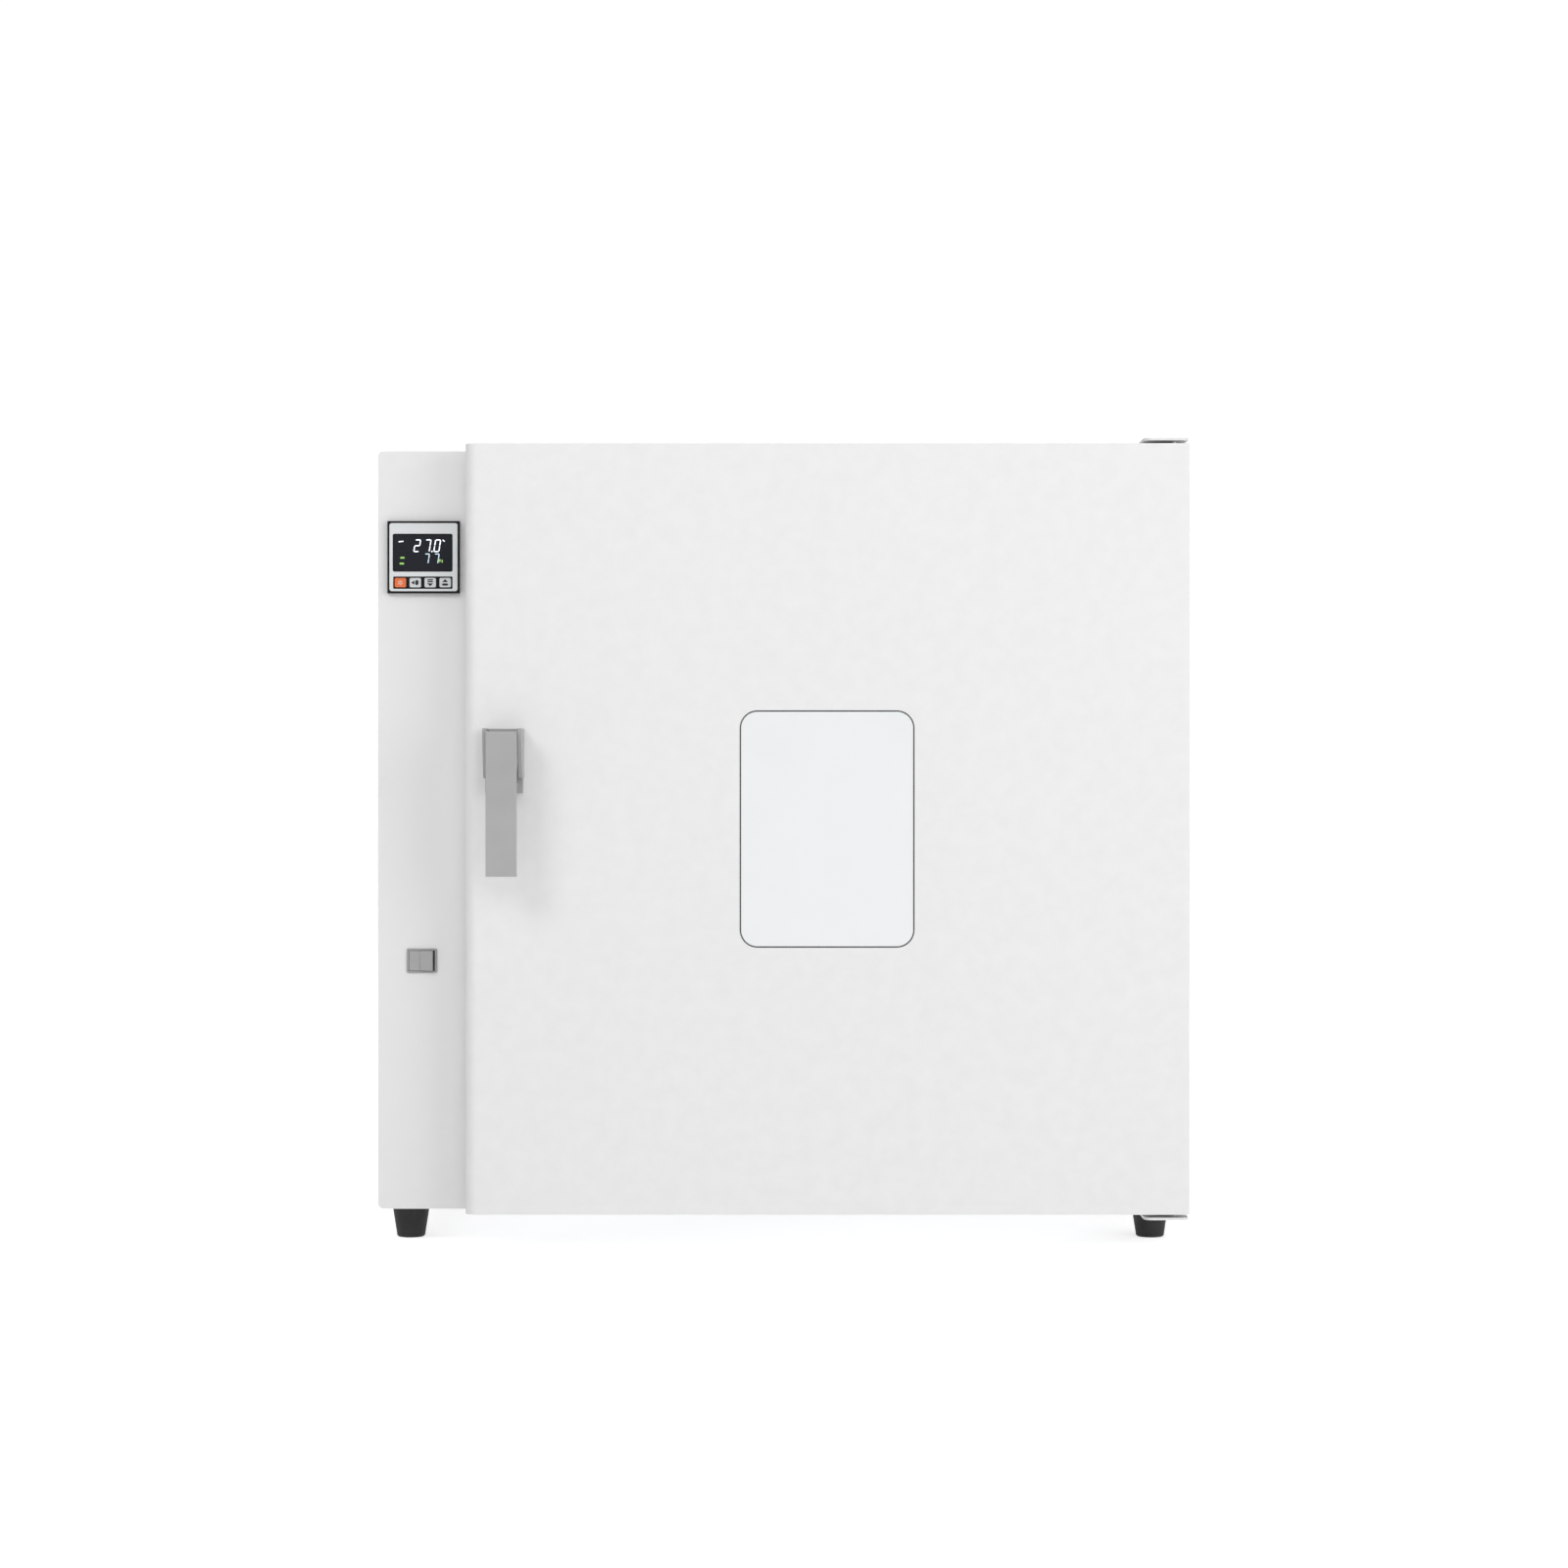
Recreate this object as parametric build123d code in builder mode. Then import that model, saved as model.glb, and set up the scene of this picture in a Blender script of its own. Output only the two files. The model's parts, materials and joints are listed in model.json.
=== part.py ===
"""Bench drying oven: sheet-metal cabinet with a control column, a hinged insulated door with a
window, a lever latch, a fan-heated chamber and the electrical parts in the column.

Millimetres. +X to the right seen from the front, +Y to the back, +Z up. The origin is on the
bench, under the middle of the whole object.
"""
import os

from build123d import *

os.makedirs("parts", exist_ok=True)

# ---------------------------------------------------------------- driving dimensions
cabinet_width = 805.0
cabinet_height = 757.5
cabinet_depth = 590.0
column_width = 91.8
bend_radius = 5.4
foot_height = 35.2

door_thickness = 49.0
door_gap = 5.0
door_top_overlap = 2.5
door_bottom_inset = 1.0
door_bend_radius = 12.0
handle_reach = 46.0

chamber_side_wall = 81.6
chamber_end_wall = 104.5
duct_depth = 45.0
back_insulation = 45.0
motor_bay_depth = 78.5

window_width = 172.0
window_height = 233.5
window_radius = 17.4

# Sheet gauges and general clearances
shell_gauge = 1.2
panel_gauge = 1.5
chamber_gauge = 1.5
liner_gauge = 1.0
seat = 0.3
running_fit = 0.05
fastener_fit = 0.15

louvre_depth = 6.0

# ---------------------------------------------------------------- places worked out from them
overall_depth = handle_reach + door_thickness + door_gap + cabinet_depth + louvre_depth
front_y = -overall_depth / 2 + handle_reach + door_thickness + door_gap
rear_y = front_y + cabinet_depth
door_back_y = front_y - door_gap
door_front_y = door_back_y - door_thickness
lever_front_y = door_front_y - handle_reach

left_x = -cabinet_width / 2
right_x = cabinet_width / 2
bottom_z = foot_height
top_z = foot_height + cabinet_height
middle_z = (bottom_z + top_z) / 2

door_width = cabinet_width - column_width
door_left_x = right_x - door_width
door_bottom_z = bottom_z + door_bottom_inset
door_top_z = top_z + door_top_overlap
door_height = door_top_z - door_bottom_z
door_x = (door_left_x + right_x) / 2
door_z = (door_bottom_z + door_top_z) / 2

inner_right_x = right_x - shell_gauge
inner_top_z = top_z - shell_gauge

chamber_width = door_width - 2 * chamber_side_wall
chamber_height = door_height - 2 * chamber_end_wall
chamber_usable_depth = (cabinet_depth - duct_depth - chamber_gauge - back_insulation
                        - motor_bay_depth)
chamber_left_x = door_x - chamber_width / 2
chamber_right_x = door_x + chamber_width / 2
chamber_bottom_z = door_z - chamber_height / 2
chamber_top_z = door_z + chamber_height / 2
chamber_front_y = front_y + panel_gauge
duct_y = front_y + chamber_usable_depth
chamber_back_y = duct_y + duct_depth
chamber_outer_back_y = chamber_back_y + chamber_gauge
insulation_back_y = chamber_outer_back_y + back_insulation

column_seam_x = door_left_x + 5.0
seam_gap = 0.3


def hexagon_screw(axis_plane, shank_radius, shank_length):
    """A sheet-metal screw: the hexagon head stands on the plane, the shank goes down below it."""
    head_radius = 2 * shank_radius
    head_height = 1.2 * shank_radius
    with BuildPart(mode=Mode.PRIVATE) as screw:
        Cylinder(shank_radius, shank_length, align=(Align.CENTER, Align.CENTER, Align.MAX))
        with BuildSketch():
            RegularPolygon(head_radius, 6)
        extrude(amount=head_height)
    return axis_plane.location * screw.part


# ---------------------------------------------------------------- cabinet shell and panels
flange_width = 12.0
return_width = 60.0
foot_inset = 26.5
foot_setback = 60.0
foot_bore_radius = 3.15
screw_radius = 2.0
screw_length = 8.0
screw_edge = 7.0
shell_front_y = front_y + panel_gauge
shell_back_y = rear_y - shell_gauge
base_z = bottom_z + shell_gauge
vent_from_side = 125.0
vent_from_duct = 90.0
vent_x = chamber_right_x - vent_from_side
vent_y = duct_y - vent_from_duct
vent_radius = 25.0

foot_xs = (left_x + foot_inset, right_x - foot_inset)
foot_ys = (front_y + foot_setback, rear_y - foot_setback)
foot_places = [(x, y) for x in foot_xs for y in foot_ys]

hinge_inset = 12.5
hinge_x = right_x - hinge_inset
hinge_y = (door_front_y + door_back_y) / 2
hinge_plate_width = 44.0
hinge_plate_gauge = 2.4
hinge_gap = 3.6
hinge_plate_setback = 5.0
hinge_plate_left_x = right_x - hinge_plate_width
hinge_flange_length = 34.0
hinge_screw_y = front_y + 22.0
hinge_screw_xs = (right_x - 33.0, right_x - 12.0)

# The lever's claw goes through the door and this frame; the keeper sits behind its opening
lever_from_edge = 39.7
lever_above_middle = 81.3
lever_x = door_left_x + lever_from_edge
lever_pivot_z = door_z + lever_above_middle
lever_pivot_setback = 24.0
lever_pivot_y = door_front_y - lever_pivot_setback
catch_width = 30.0
catch_top_z = lever_pivot_z + 16.0
catch_bottom_z = lever_pivot_z - 52.0
keeper_x = lever_x - 1.5
keeper_screw_pitch = 40.0
keeper_z = lever_pivot_z + 2.0
frame_screw_pitch = cabinet_height / 2 - 38.75
frame_screw_xs = (column_seam_x + 12.0, inner_right_x - screw_edge + 1.0)
frame_screw_places = [(x, middle_z + i * frame_screw_pitch)
                      for x in frame_screw_xs for i in (-1, 0, 1)]
frame_screw_places += [(keeper_x + side * keeper_screw_pitch / 2, keeper_z) for side in (-1, 1)]
rear_screw_rise = (cabinet_height - 77.5) / 4
rear_screw_run = (cabinet_width - 45.0) / 4
rear_screw_places = [(side * (right_x - screw_edge), middle_z + i * rear_screw_rise)
                     for side in (-1, 1) for i in (-2, -1, 0, 1, 2)]
rear_screw_places += [(i * rear_screw_run, top_z - screw_edge) for i in (-2, -1, 0, 1, 2)]

# Fan, heaters, sensor: places shared by the walls that they go through
shaft_radius = 4.0
shaft_in_motor = 30.0
impeller_radius = 90.0
impeller_y = duct_y + 12.0
blade_width = 22.0
blade_count = 12
blade_chord = 56.0
blade_angle = 24.0
hub_radius = 12.0
bracket_gauge = 2.0
bracket_width = 190.0
bracket_height = 170.0
bracket_fold = 16.0
motor_radius = 42.0
motor_length = 58.0
motor_core = 30.0
heater_radius = 4.0
heater_bend = 14.0
heater_inner_x = 115.0
heater_outer_x = 165.0
heater_half_height = chamber_height / 2 - 90.0
heater_y = duct_y + 25.0
heater_end_y = insulation_back_y + 18.0
heater_legs = [(door_x + side * x, door_z - heater_half_height)
               for side in (-1, 1) for x in (heater_inner_x, heater_outer_x)]
sensor_radius = 3.0
sensor_gland_radius = 9.0
sensor_reach = 42.0
sensor_y = duct_y - 160.0
sensor_z = chamber_top_z - 60.0

with BuildPart() as outer_shell:
    with BuildSketch(Plane.XZ.offset(-shell_front_y)):
        with Locations((0, middle_z)):
            RectangleRounded(cabinet_width, cabinet_height, bend_radius)
            RectangleRounded(
                cabinet_width - 2 * shell_gauge,
                cabinet_height - 2 * shell_gauge,
                bend_radius - shell_gauge,
                mode=Mode.SUBTRACT,
            )
        with Locations((0, bottom_z)):
            Rectangle(cabinet_width - 2 * return_width, 4 * shell_gauge, mode=Mode.SUBTRACT)
    extrude(amount=-(shell_back_y - shell_front_y))
    for flange_y in (shell_front_y, shell_back_y - shell_gauge):
        with BuildSketch(Plane.XZ.offset(-flange_y)):
            with Locations((0, middle_z)):
                RectangleRounded(cabinet_width - 2 * shell_gauge, cabinet_height - 2 * shell_gauge,
                                 bend_radius - shell_gauge)
                Rectangle(cabinet_width - 2 * flange_width, cabinet_height, mode=Mode.SUBTRACT)
        extrude(amount=-shell_gauge)
        with BuildSketch(Plane.XZ.offset(-flange_y)):
            with Locations((0, inner_top_z)):
                Rectangle(cabinet_width - 2 * flange_width, flange_width,
                          align=(Align.CENTER, Align.MAX))
        extrude(amount=-shell_gauge)
    with BuildSketch(Plane.XY.offset(bottom_z - 1)):
        with Locations(*foot_places):
            Circle(foot_bore_radius)
        with Locations(*[(x, hinge_screw_y) for x in hinge_screw_xs]):
            Circle(screw_radius + fastener_fit)
    extrude(amount=4 * shell_gauge, mode=Mode.SUBTRACT)
    with BuildSketch(Plane.XY.offset(top_z + 1)):
        with Locations((vent_x, vent_y)):
            Circle(vent_radius + seat)
        with Locations(*[(x, hinge_screw_y) for x in hinge_screw_xs]):
            Circle(screw_radius + fastener_fit)
    extrude(amount=-4 * shell_gauge, mode=Mode.SUBTRACT)
    for flange_y, places in ((shell_front_y, frame_screw_places), (shell_back_y, rear_screw_places)):
        with BuildSketch(Plane.XZ.offset(-flange_y)):
            with Locations(*places):
                Circle(screw_radius + fastener_fit)
        extrude(amount=screw_radius, both=True, mode=Mode.SUBTRACT)
    outer_shell.part.label = "outer_shell"
export_step(outer_shell.part, "parts/outer_shell.step")

# The base pan rests on the shell's bottom returns and stiffens itself with turned-up edges
pan_edge = 18.0
pan_back_y = shell_back_y - shell_gauge - seat
pan_front_y = shell_front_y + shell_gauge + seat
pan_middle_y = (pan_front_y + pan_back_y) / 2
with BuildPart() as base_pan:
    with BuildSketch(Plane.XY.offset(base_z)):
        with Locations((0, pan_middle_y)):
            Rectangle(cabinet_width - 2 * bend_radius - 2, pan_back_y - pan_front_y)
        with Locations(*foot_places):
            Circle(foot_bore_radius, mode=Mode.SUBTRACT)
        with Locations(*[(x, hinge_screw_y) for x in hinge_screw_xs]):
            Circle(screw_radius + fastener_fit, mode=Mode.SUBTRACT)
    extrude(amount=panel_gauge)
    with BuildSketch(Plane.XY.offset(base_z + panel_gauge)):
        for y, side in ((pan_front_y, Align.MIN), (pan_back_y, Align.MAX)):
            with Locations((0, y)):
                Rectangle(cabinet_width - 2 * bend_radius - 2, panel_gauge, align=(Align.CENTER, side))
    extrude(amount=pan_edge)
    base_pan.part.label = "base_pan"
export_step(base_pan.part, "parts/base_pan.step")

# Controller and switch places on the column
controller_x = left_x + 46.0
controller_z = top_z - 106.2
controller_size = 72.0
controller_cutout = 68.0
switch_x = left_x + 44.0
switch_z = bottom_z + 248.2
switch_width = 30.4
switch_height = 24.2
switch_cutout_width = 28.4
switch_cutout_height = 22.6

with BuildPart() as column_front_panel:
    with BuildSketch(Plane.XZ.offset(-front_y)):
        with Locations((0, middle_z)):
            RectangleRounded(cabinet_width, cabinet_height, bend_radius)
        with Locations((column_seam_x - seam_gap / 2, middle_z)):
            Rectangle(cabinet_width, cabinet_height, align=(Align.MIN, Align.CENTER),
                      mode=Mode.SUBTRACT)
        with Locations((controller_x, controller_z)):
            Rectangle(controller_cutout, controller_cutout, mode=Mode.SUBTRACT)
        with Locations((switch_x, switch_z)):
            Rectangle(switch_cutout_width, switch_cutout_height, mode=Mode.SUBTRACT)
    extrude(amount=-panel_gauge)
    column_front_panel.part.label = "column_front_panel"
export_step(column_front_panel.part, "parts/column_front_panel.step")

with BuildPart() as front_frame:
    with BuildSketch(Plane.XZ.offset(-front_y)):
        with Locations((0, middle_z)):
            RectangleRounded(cabinet_width, cabinet_height, bend_radius)
        with Locations((column_seam_x + seam_gap / 2, middle_z)):
            Rectangle(cabinet_width, cabinet_height, align=(Align.MAX, Align.CENTER),
                      mode=Mode.SUBTRACT)
        with Locations((door_x, door_z)):
            RectangleRounded(chamber_width, chamber_height, bend_radius, mode=Mode.SUBTRACT)
        with Locations((keeper_x, (catch_top_z + catch_bottom_z) / 2)):
            RectangleRounded(catch_width, catch_top_z - catch_bottom_z, 2.0, mode=Mode.SUBTRACT)
        with Locations(*frame_screw_places):
            Circle(screw_radius + fastener_fit, mode=Mode.SUBTRACT)
    extrude(amount=-panel_gauge)
    front_frame.part.label = "front_frame"
export_step(front_frame.part, "parts/front_frame.step")

# The divider closes the column off from the insulated side
divider_x = column_seam_x + 3.0
divider_gauge = 1.0
with BuildPart() as divider_panel:
    with BuildSketch(Plane.XY.offset(base_z + panel_gauge)):
        with Locations((divider_x, pan_front_y + panel_gauge + seat)):
            Rectangle(divider_gauge, pan_back_y - pan_front_y - 2 * panel_gauge - 2 * seat,
                      align=(Align.MIN, Align.MIN))
            Rectangle(divider_gauge + flange_width, divider_gauge, align=(Align.MIN, Align.MIN))
    extrude(amount=inner_top_z - base_z - panel_gauge - seat)
    with BuildSketch(Plane.XZ.offset(-front_y)):
        with Locations(*frame_screw_places):
            Circle(screw_radius + fastener_fit)
    extrude(amount=-2 * screw_length, mode=Mode.SUBTRACT)
    with BuildSketch(Plane.YZ.offset(divider_x - 1)):
        with Locations((sensor_y, sensor_z)):
            Circle(sensor_gland_radius + seat)
    extrude(amount=divider_gauge + 2, mode=Mode.SUBTRACT)
    divider_panel.part.label = "divider_panel"
export_step(divider_panel.part, "parts/divider_panel.step")

# ---------------------------------------------------------------- chamber and its insulation
with BuildPart() as chamber:
    with BuildSketch(Plane.XZ.offset(-chamber_front_y)):
        with Locations((door_x, door_z)):
            RectangleRounded(chamber_width + 2 * chamber_gauge, chamber_height + 2 * chamber_gauge,
                             bend_radius + chamber_gauge)
    extrude(amount=-(chamber_outer_back_y - chamber_front_y))
    with BuildSketch(Plane.XZ.offset(-chamber_front_y)):
        with Locations((door_x, door_z)):
            RectangleRounded(chamber_width, chamber_height, bend_radius)
    extrude(amount=-(chamber_back_y - chamber_front_y), mode=Mode.SUBTRACT)
    with BuildSketch(Plane.XZ.offset(-chamber_back_y + 1)):
        with Locations((door_x, door_z)):
            Circle(shaft_radius + 2.0)
        with Locations(*heater_legs):
            Circle(heater_radius + seat)
    extrude(amount=-chamber_gauge - 2, mode=Mode.SUBTRACT)
    with BuildSketch(Plane.YZ.offset(chamber_left_x - chamber_gauge - 1)):
        with Locations((sensor_y, sensor_z)):
            Circle(sensor_radius + seat)
    extrude(amount=chamber_gauge + 2, mode=Mode.SUBTRACT)
    with BuildSketch(Plane.XY.offset(chamber_top_z - 1)):
        with Locations((vent_x, vent_y)):
            Circle(vent_radius + seat)
    extrude(amount=chamber_gauge + 2, mode=Mode.SUBTRACT)
    chamber.part.label = "chamber"
export_step(chamber.part, "parts/chamber.step")

wool_left_x = divider_x + divider_gauge + seat
wool_right_x = inner_right_x - seat
wool_bottom_z = base_z + panel_gauge + seat
wool_top_z = inner_top_z - seat
wool_front_y = shell_front_y + shell_gauge + seat
wool_corner = 8.0
screw_pocket = 16.0
keeper_pocket_depth = 42.0
keeper_pocket_width = keeper_screw_pitch + 14.0
with BuildPart() as cabinet_insulation:
    with BuildSketch(Plane.XZ.offset(-wool_front_y)):
        with Locations(((wool_left_x + wool_right_x) / 2, (wool_bottom_z + wool_top_z) / 2)):
            RectangleRounded(wool_right_x - wool_left_x, wool_top_z - wool_bottom_z, wool_corner)
    extrude(amount=-(insulation_back_y - wool_front_y))
    with BuildSketch(Plane.XZ.offset(-wool_front_y + 1)):
        with Locations((door_x, door_z)):
            RectangleRounded(chamber_width + 2 * (chamber_gauge + seat),
                             chamber_height + 2 * (chamber_gauge + seat),
                             bend_radius + chamber_gauge + seat)
    extrude(amount=-(chamber_outer_back_y + seat - wool_front_y + 1), mode=Mode.SUBTRACT)
    # front corners are cut back for the pan's and the divider's turned edges
    with BuildSketch(Plane.YZ.offset(wool_left_x - 1)):
        with Locations((wool_front_y - 1, wool_bottom_z - 1)):
            Rectangle(panel_gauge + 2 * seat + 1, pan_edge + 2, align=(Align.MIN, Align.MIN))
    extrude(amount=wool_right_x - wool_left_x + 2, mode=Mode.SUBTRACT)
    with BuildSketch(Plane.XY.offset(wool_bottom_z - 1)):
        with Locations((wool_left_x - 1, wool_front_y - 1)):
            Rectangle(flange_width + 2, panel_gauge + divider_gauge + 4 * seat + 1,
                      align=(Align.MIN, Align.MIN))
    extrude(amount=wool_top_z - wool_bottom_z + 2, mode=Mode.SUBTRACT)
    with BuildSketch(Plane.XZ.offset(-wool_front_y + 1)):
        with Locations((keeper_x, (catch_top_z + catch_bottom_z) / 2)):
            Rectangle(keeper_pocket_width, catch_top_z - catch_bottom_z + 24)
        with Locations(*frame_screw_places):
            Rectangle(screw_pocket / 2, screw_pocket / 2)
    extrude(amount=-keeper_pocket_depth - 1, mode=Mode.SUBTRACT)
    with BuildSketch(Plane.XZ.offset(-chamber_outer_back_y)):
        with Locations((door_x, door_z)):
            Circle(shaft_radius + 3.0)
        with Locations(*heater_legs):
            Circle(heater_radius + seat)
    extrude(amount=-back_insulation - 2, mode=Mode.SUBTRACT)
    with BuildSketch(Plane.YZ.offset(wool_left_x - 1)):
        with Locations((sensor_y, sensor_z)):
            Circle(sensor_radius + seat)
    extrude(amount=chamber_left_x - wool_left_x, mode=Mode.SUBTRACT)
    with BuildSketch(Plane.XY.offset(chamber_top_z)):
        with Locations((vent_x, vent_y)):
            Circle(vent_radius + seat)
    extrude(amount=wool_top_z - chamber_top_z + 1, mode=Mode.SUBTRACT)
    with BuildSketch(Plane.XY.offset(wool_bottom_z - 1)):
        with Locations(*[(x, hinge_screw_y) for x in hinge_screw_xs], *foot_places):
            Rectangle(screw_pocket, screw_pocket)
    extrude(amount=14, mode=Mode.SUBTRACT)
    with BuildSketch(Plane.XY.offset(wool_top_z - 12)):
        with Locations(*[(x, hinge_screw_y) for x in hinge_screw_xs]):
            Rectangle(screw_pocket, screw_pocket)
    extrude(amount=14, mode=Mode.SUBTRACT)
    cabinet_insulation.part.label = "cabinet_insulation"
export_step(cabinet_insulation.part, "parts/cabinet_insulation.step")

# The air duct panel is a tray turned towards the back wall: rows of intake slots cut to a
# circle in front of the fan, outlet slots down both sides
duct_clearance = 1.0
intake_radius = 82.0
intake_slot_height = 6.0
intake_slot_pitch = 13.0
intake_bar = 10.0
intake_rows = 5
outlet_slot_width = 60.0
outlet_slot_height = 8.0
outlet_slot_pitch = 26.0
outlet_slot_count = 17
outlet_x = chamber_width / 2 - 60.0
with BuildPart() as air_duct_panel:
    with BuildSketch(Plane.XZ.offset(-duct_y)):
        with Locations((door_x, door_z)):
            RectangleRounded(chamber_width - 2 * duct_clearance, chamber_height - 2 * duct_clearance,
                             bend_radius)
    extrude(amount=-(duct_depth - seat))
    with BuildSketch(Plane.XZ.offset(-duct_y - liner_gauge)):
        with Locations((door_x, door_z)):
            Rectangle(chamber_width - 2 * duct_clearance - 2 * liner_gauge,
                      chamber_height - 2 * duct_clearance - 2 * liner_gauge)
    extrude(amount=-duct_depth, mode=Mode.SUBTRACT)
    with BuildSketch(Plane.XZ.offset(-duct_y + 1)):
        with Locations(*[(door_x + side * outlet_x, door_z) for side in (-1, 1)]):
            with GridLocations(1, outlet_slot_pitch, 1, outlet_slot_count):
                Rectangle(outlet_slot_width, outlet_slot_height)
        for row in range(-intake_rows, intake_rows + 1):
            row_z = row * intake_slot_pitch
            slot_length = (intake_radius ** 2 - row_z ** 2) ** 0.5 - intake_bar / 2
            for side in (-1, 1):
                with Locations((door_x + side * (slot_length + intake_bar) / 2, door_z + row_z)):
                    Rectangle(slot_length, intake_slot_height)
    extrude(amount=-liner_gauge - 2, mode=Mode.SUBTRACT)
    air_duct_panel.part.label = "air_duct_panel"
export_step(air_duct_panel.part, "parts/air_duct_panel.step")

# ---------------------------------------------------------------- heaters, fan and motor
with BuildPart() as heating_elements:
    for side in (-1, 1):
        inner_x = door_x + side * heater_inner_x
        outer_x = door_x + side * heater_outer_x
        low_z = door_z - heater_half_height
        high_z = door_z + heater_half_height
        with BuildLine():
            FilletPolyline(
                (inner_x, heater_end_y, low_z), (inner_x, heater_y, low_z),
                (inner_x, heater_y, high_z), (outer_x, heater_y, high_z),
                (outer_x, heater_y, low_z), (outer_x, heater_end_y, low_z),
                radius=heater_bend,
            )
        with BuildSketch(Plane.XZ.offset(-heater_end_y)):
            with Locations((inner_x, low_z)):
                Circle(heater_radius)
        sweep()
    heating_elements.part.label = "heating_elements"
export_step(heating_elements.part, "parts/heating_elements.step")

motor_front_y = insulation_back_y + bracket_gauge + 2 * seat
with BuildPart() as fan_shaft:
    with BuildSketch(Plane.XZ.offset(-(impeller_y - 3.0))):
        with Locations((door_x, door_z)):
            Circle(shaft_radius)
    extrude(amount=-(motor_front_y + shaft_in_motor - impeller_y + 3.0))
    fan_shaft.part.label = "fan_shaft"
export_step(fan_shaft.part, "parts/fan_shaft.step")

with BuildPart() as fan_impeller:
    with BuildSketch(Plane.XZ.offset(-(impeller_y + blade_width))):
        with Locations((door_x, door_z)):
            Circle(impeller_radius)
            Circle(shaft_radius, mode=Mode.SUBTRACT)
    extrude(amount=-liner_gauge)
    with BuildSketch(Plane.XZ.offset(-impeller_y)):
        with Locations((door_x, door_z)):
            Circle(hub_radius)
            Circle(shaft_radius, mode=Mode.SUBTRACT)
    extrude(amount=-blade_width)
    with BuildSketch(Plane.XZ.offset(-impeller_y)):
        with Locations((door_x, door_z)):
            with PolarLocations(0.62 * impeller_radius, blade_count):
                Rectangle(blade_chord, liner_gauge, rotation=blade_angle)
    extrude(amount=-blade_width)
    fan_impeller.part.label = "fan_impeller"
export_step(fan_impeller.part, "parts/fan_impeller.step")

with BuildPart() as motor_bracket:
    with BuildSketch(Plane.XZ.offset(-(insulation_back_y + seat))):
        with Locations((door_x, door_z)):
            RectangleRounded(bracket_width, bracket_height, 6.0)
            Circle(shaft_radius + 3.0, mode=Mode.SUBTRACT)
        with Locations(*heater_legs):
            Circle(heater_radius + 4.0, mode=Mode.SUBTRACT)
    extrude(amount=-bracket_gauge)
    with BuildSketch(Plane.XZ.offset(-(insulation_back_y + seat + bracket_gauge))):
        for side in (-1, 1):
            with Locations((door_x, door_z + side * (bracket_height / 2 - bracket_gauge / 2 - 6))):
                Rectangle(bracket_width - 12, bracket_gauge)
    extrude(amount=-bracket_fold)
    motor_bracket.part.label = "motor_bracket"
export_step(motor_bracket.part, "parts/motor_bracket.step")

with BuildPart() as fan_motor:
    with BuildSketch(Plane.XZ.offset(-motor_front_y)):
        with Locations((door_x, door_z)):
            Circle(motor_radius)
    extrude(amount=-motor_length)
    with BuildSketch(Plane.XZ.offset(-(motor_front_y + motor_length / 2 - motor_core / 2))):
        with Locations((door_x, door_z)):
            RectangleRounded(2.3 * motor_radius, 2.3 * motor_radius, 8.0)
    extrude(amount=-motor_core)
    chamfer(fan_motor.faces().sort_by(Axis.Y)[-1].edges(), 4.0)
    with BuildSketch(Plane.XZ.offset(-motor_front_y + 1)):
        with Locations((door_x, door_z)):
            Circle(shaft_radius + running_fit)
    extrude(amount=-(shaft_in_motor + 2), mode=Mode.SUBTRACT)
    fan_motor.part.label = "fan_motor"
export_step(fan_motor.part, "parts/fan_motor.step")

# ---------------------------------------------------------------- shelves and their rails
shelf_bar_radius = 3.0
shelf_wire_radius = 1.5
shelf_wire_rise = 1.0
shelf_depth = chamber_usable_depth - 40.0
shelf_side_gap = 4.0
shelf_back_gap = 6.0
shelf_wire_count = 11
shelf_spacing = 0.382 * chamber_height
shelf_heights = {"shelf_lower": door_z - 120.0, "shelf_upper": door_z - 120.0 + shelf_spacing}
rail_height = 18.0
rail_foot = 16.0
rail_front_y = front_y + 30.0
rail_back_y = duct_y - seat
shelf_back_y = duct_y - shelf_back_gap
shelf_front_y = shelf_back_y - shelf_depth
shelf_half_width = chamber_width / 2 - shelf_side_gap - shelf_bar_radius

with BuildPart() as shelf_rails:
    for height in shelf_heights.values():
        for side in (-1, 1):
            wall_x = door_x + side * (chamber_width / 2 - seat)
            with BuildSketch(Plane.XZ.offset(-rail_front_y)):
                with BuildLine():
                    Polyline(
                        (wall_x, height - shelf_bar_radius - seat),
                        (wall_x - side * rail_foot, height - shelf_bar_radius - seat),
                        (wall_x - side * rail_foot, height - shelf_bar_radius - seat - liner_gauge),
                        (wall_x - side * liner_gauge, height - shelf_bar_radius - seat - liner_gauge),
                        (wall_x - side * liner_gauge, height - rail_height),
                        (wall_x, height - rail_height),
                        close=True,
                    )
                make_face()
            extrude(amount=-(rail_back_y - rail_front_y))
    shelf_rails.part.label = "shelf_rails"
export_step(shelf_rails.part, "parts/shelf_rails.step")

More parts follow.
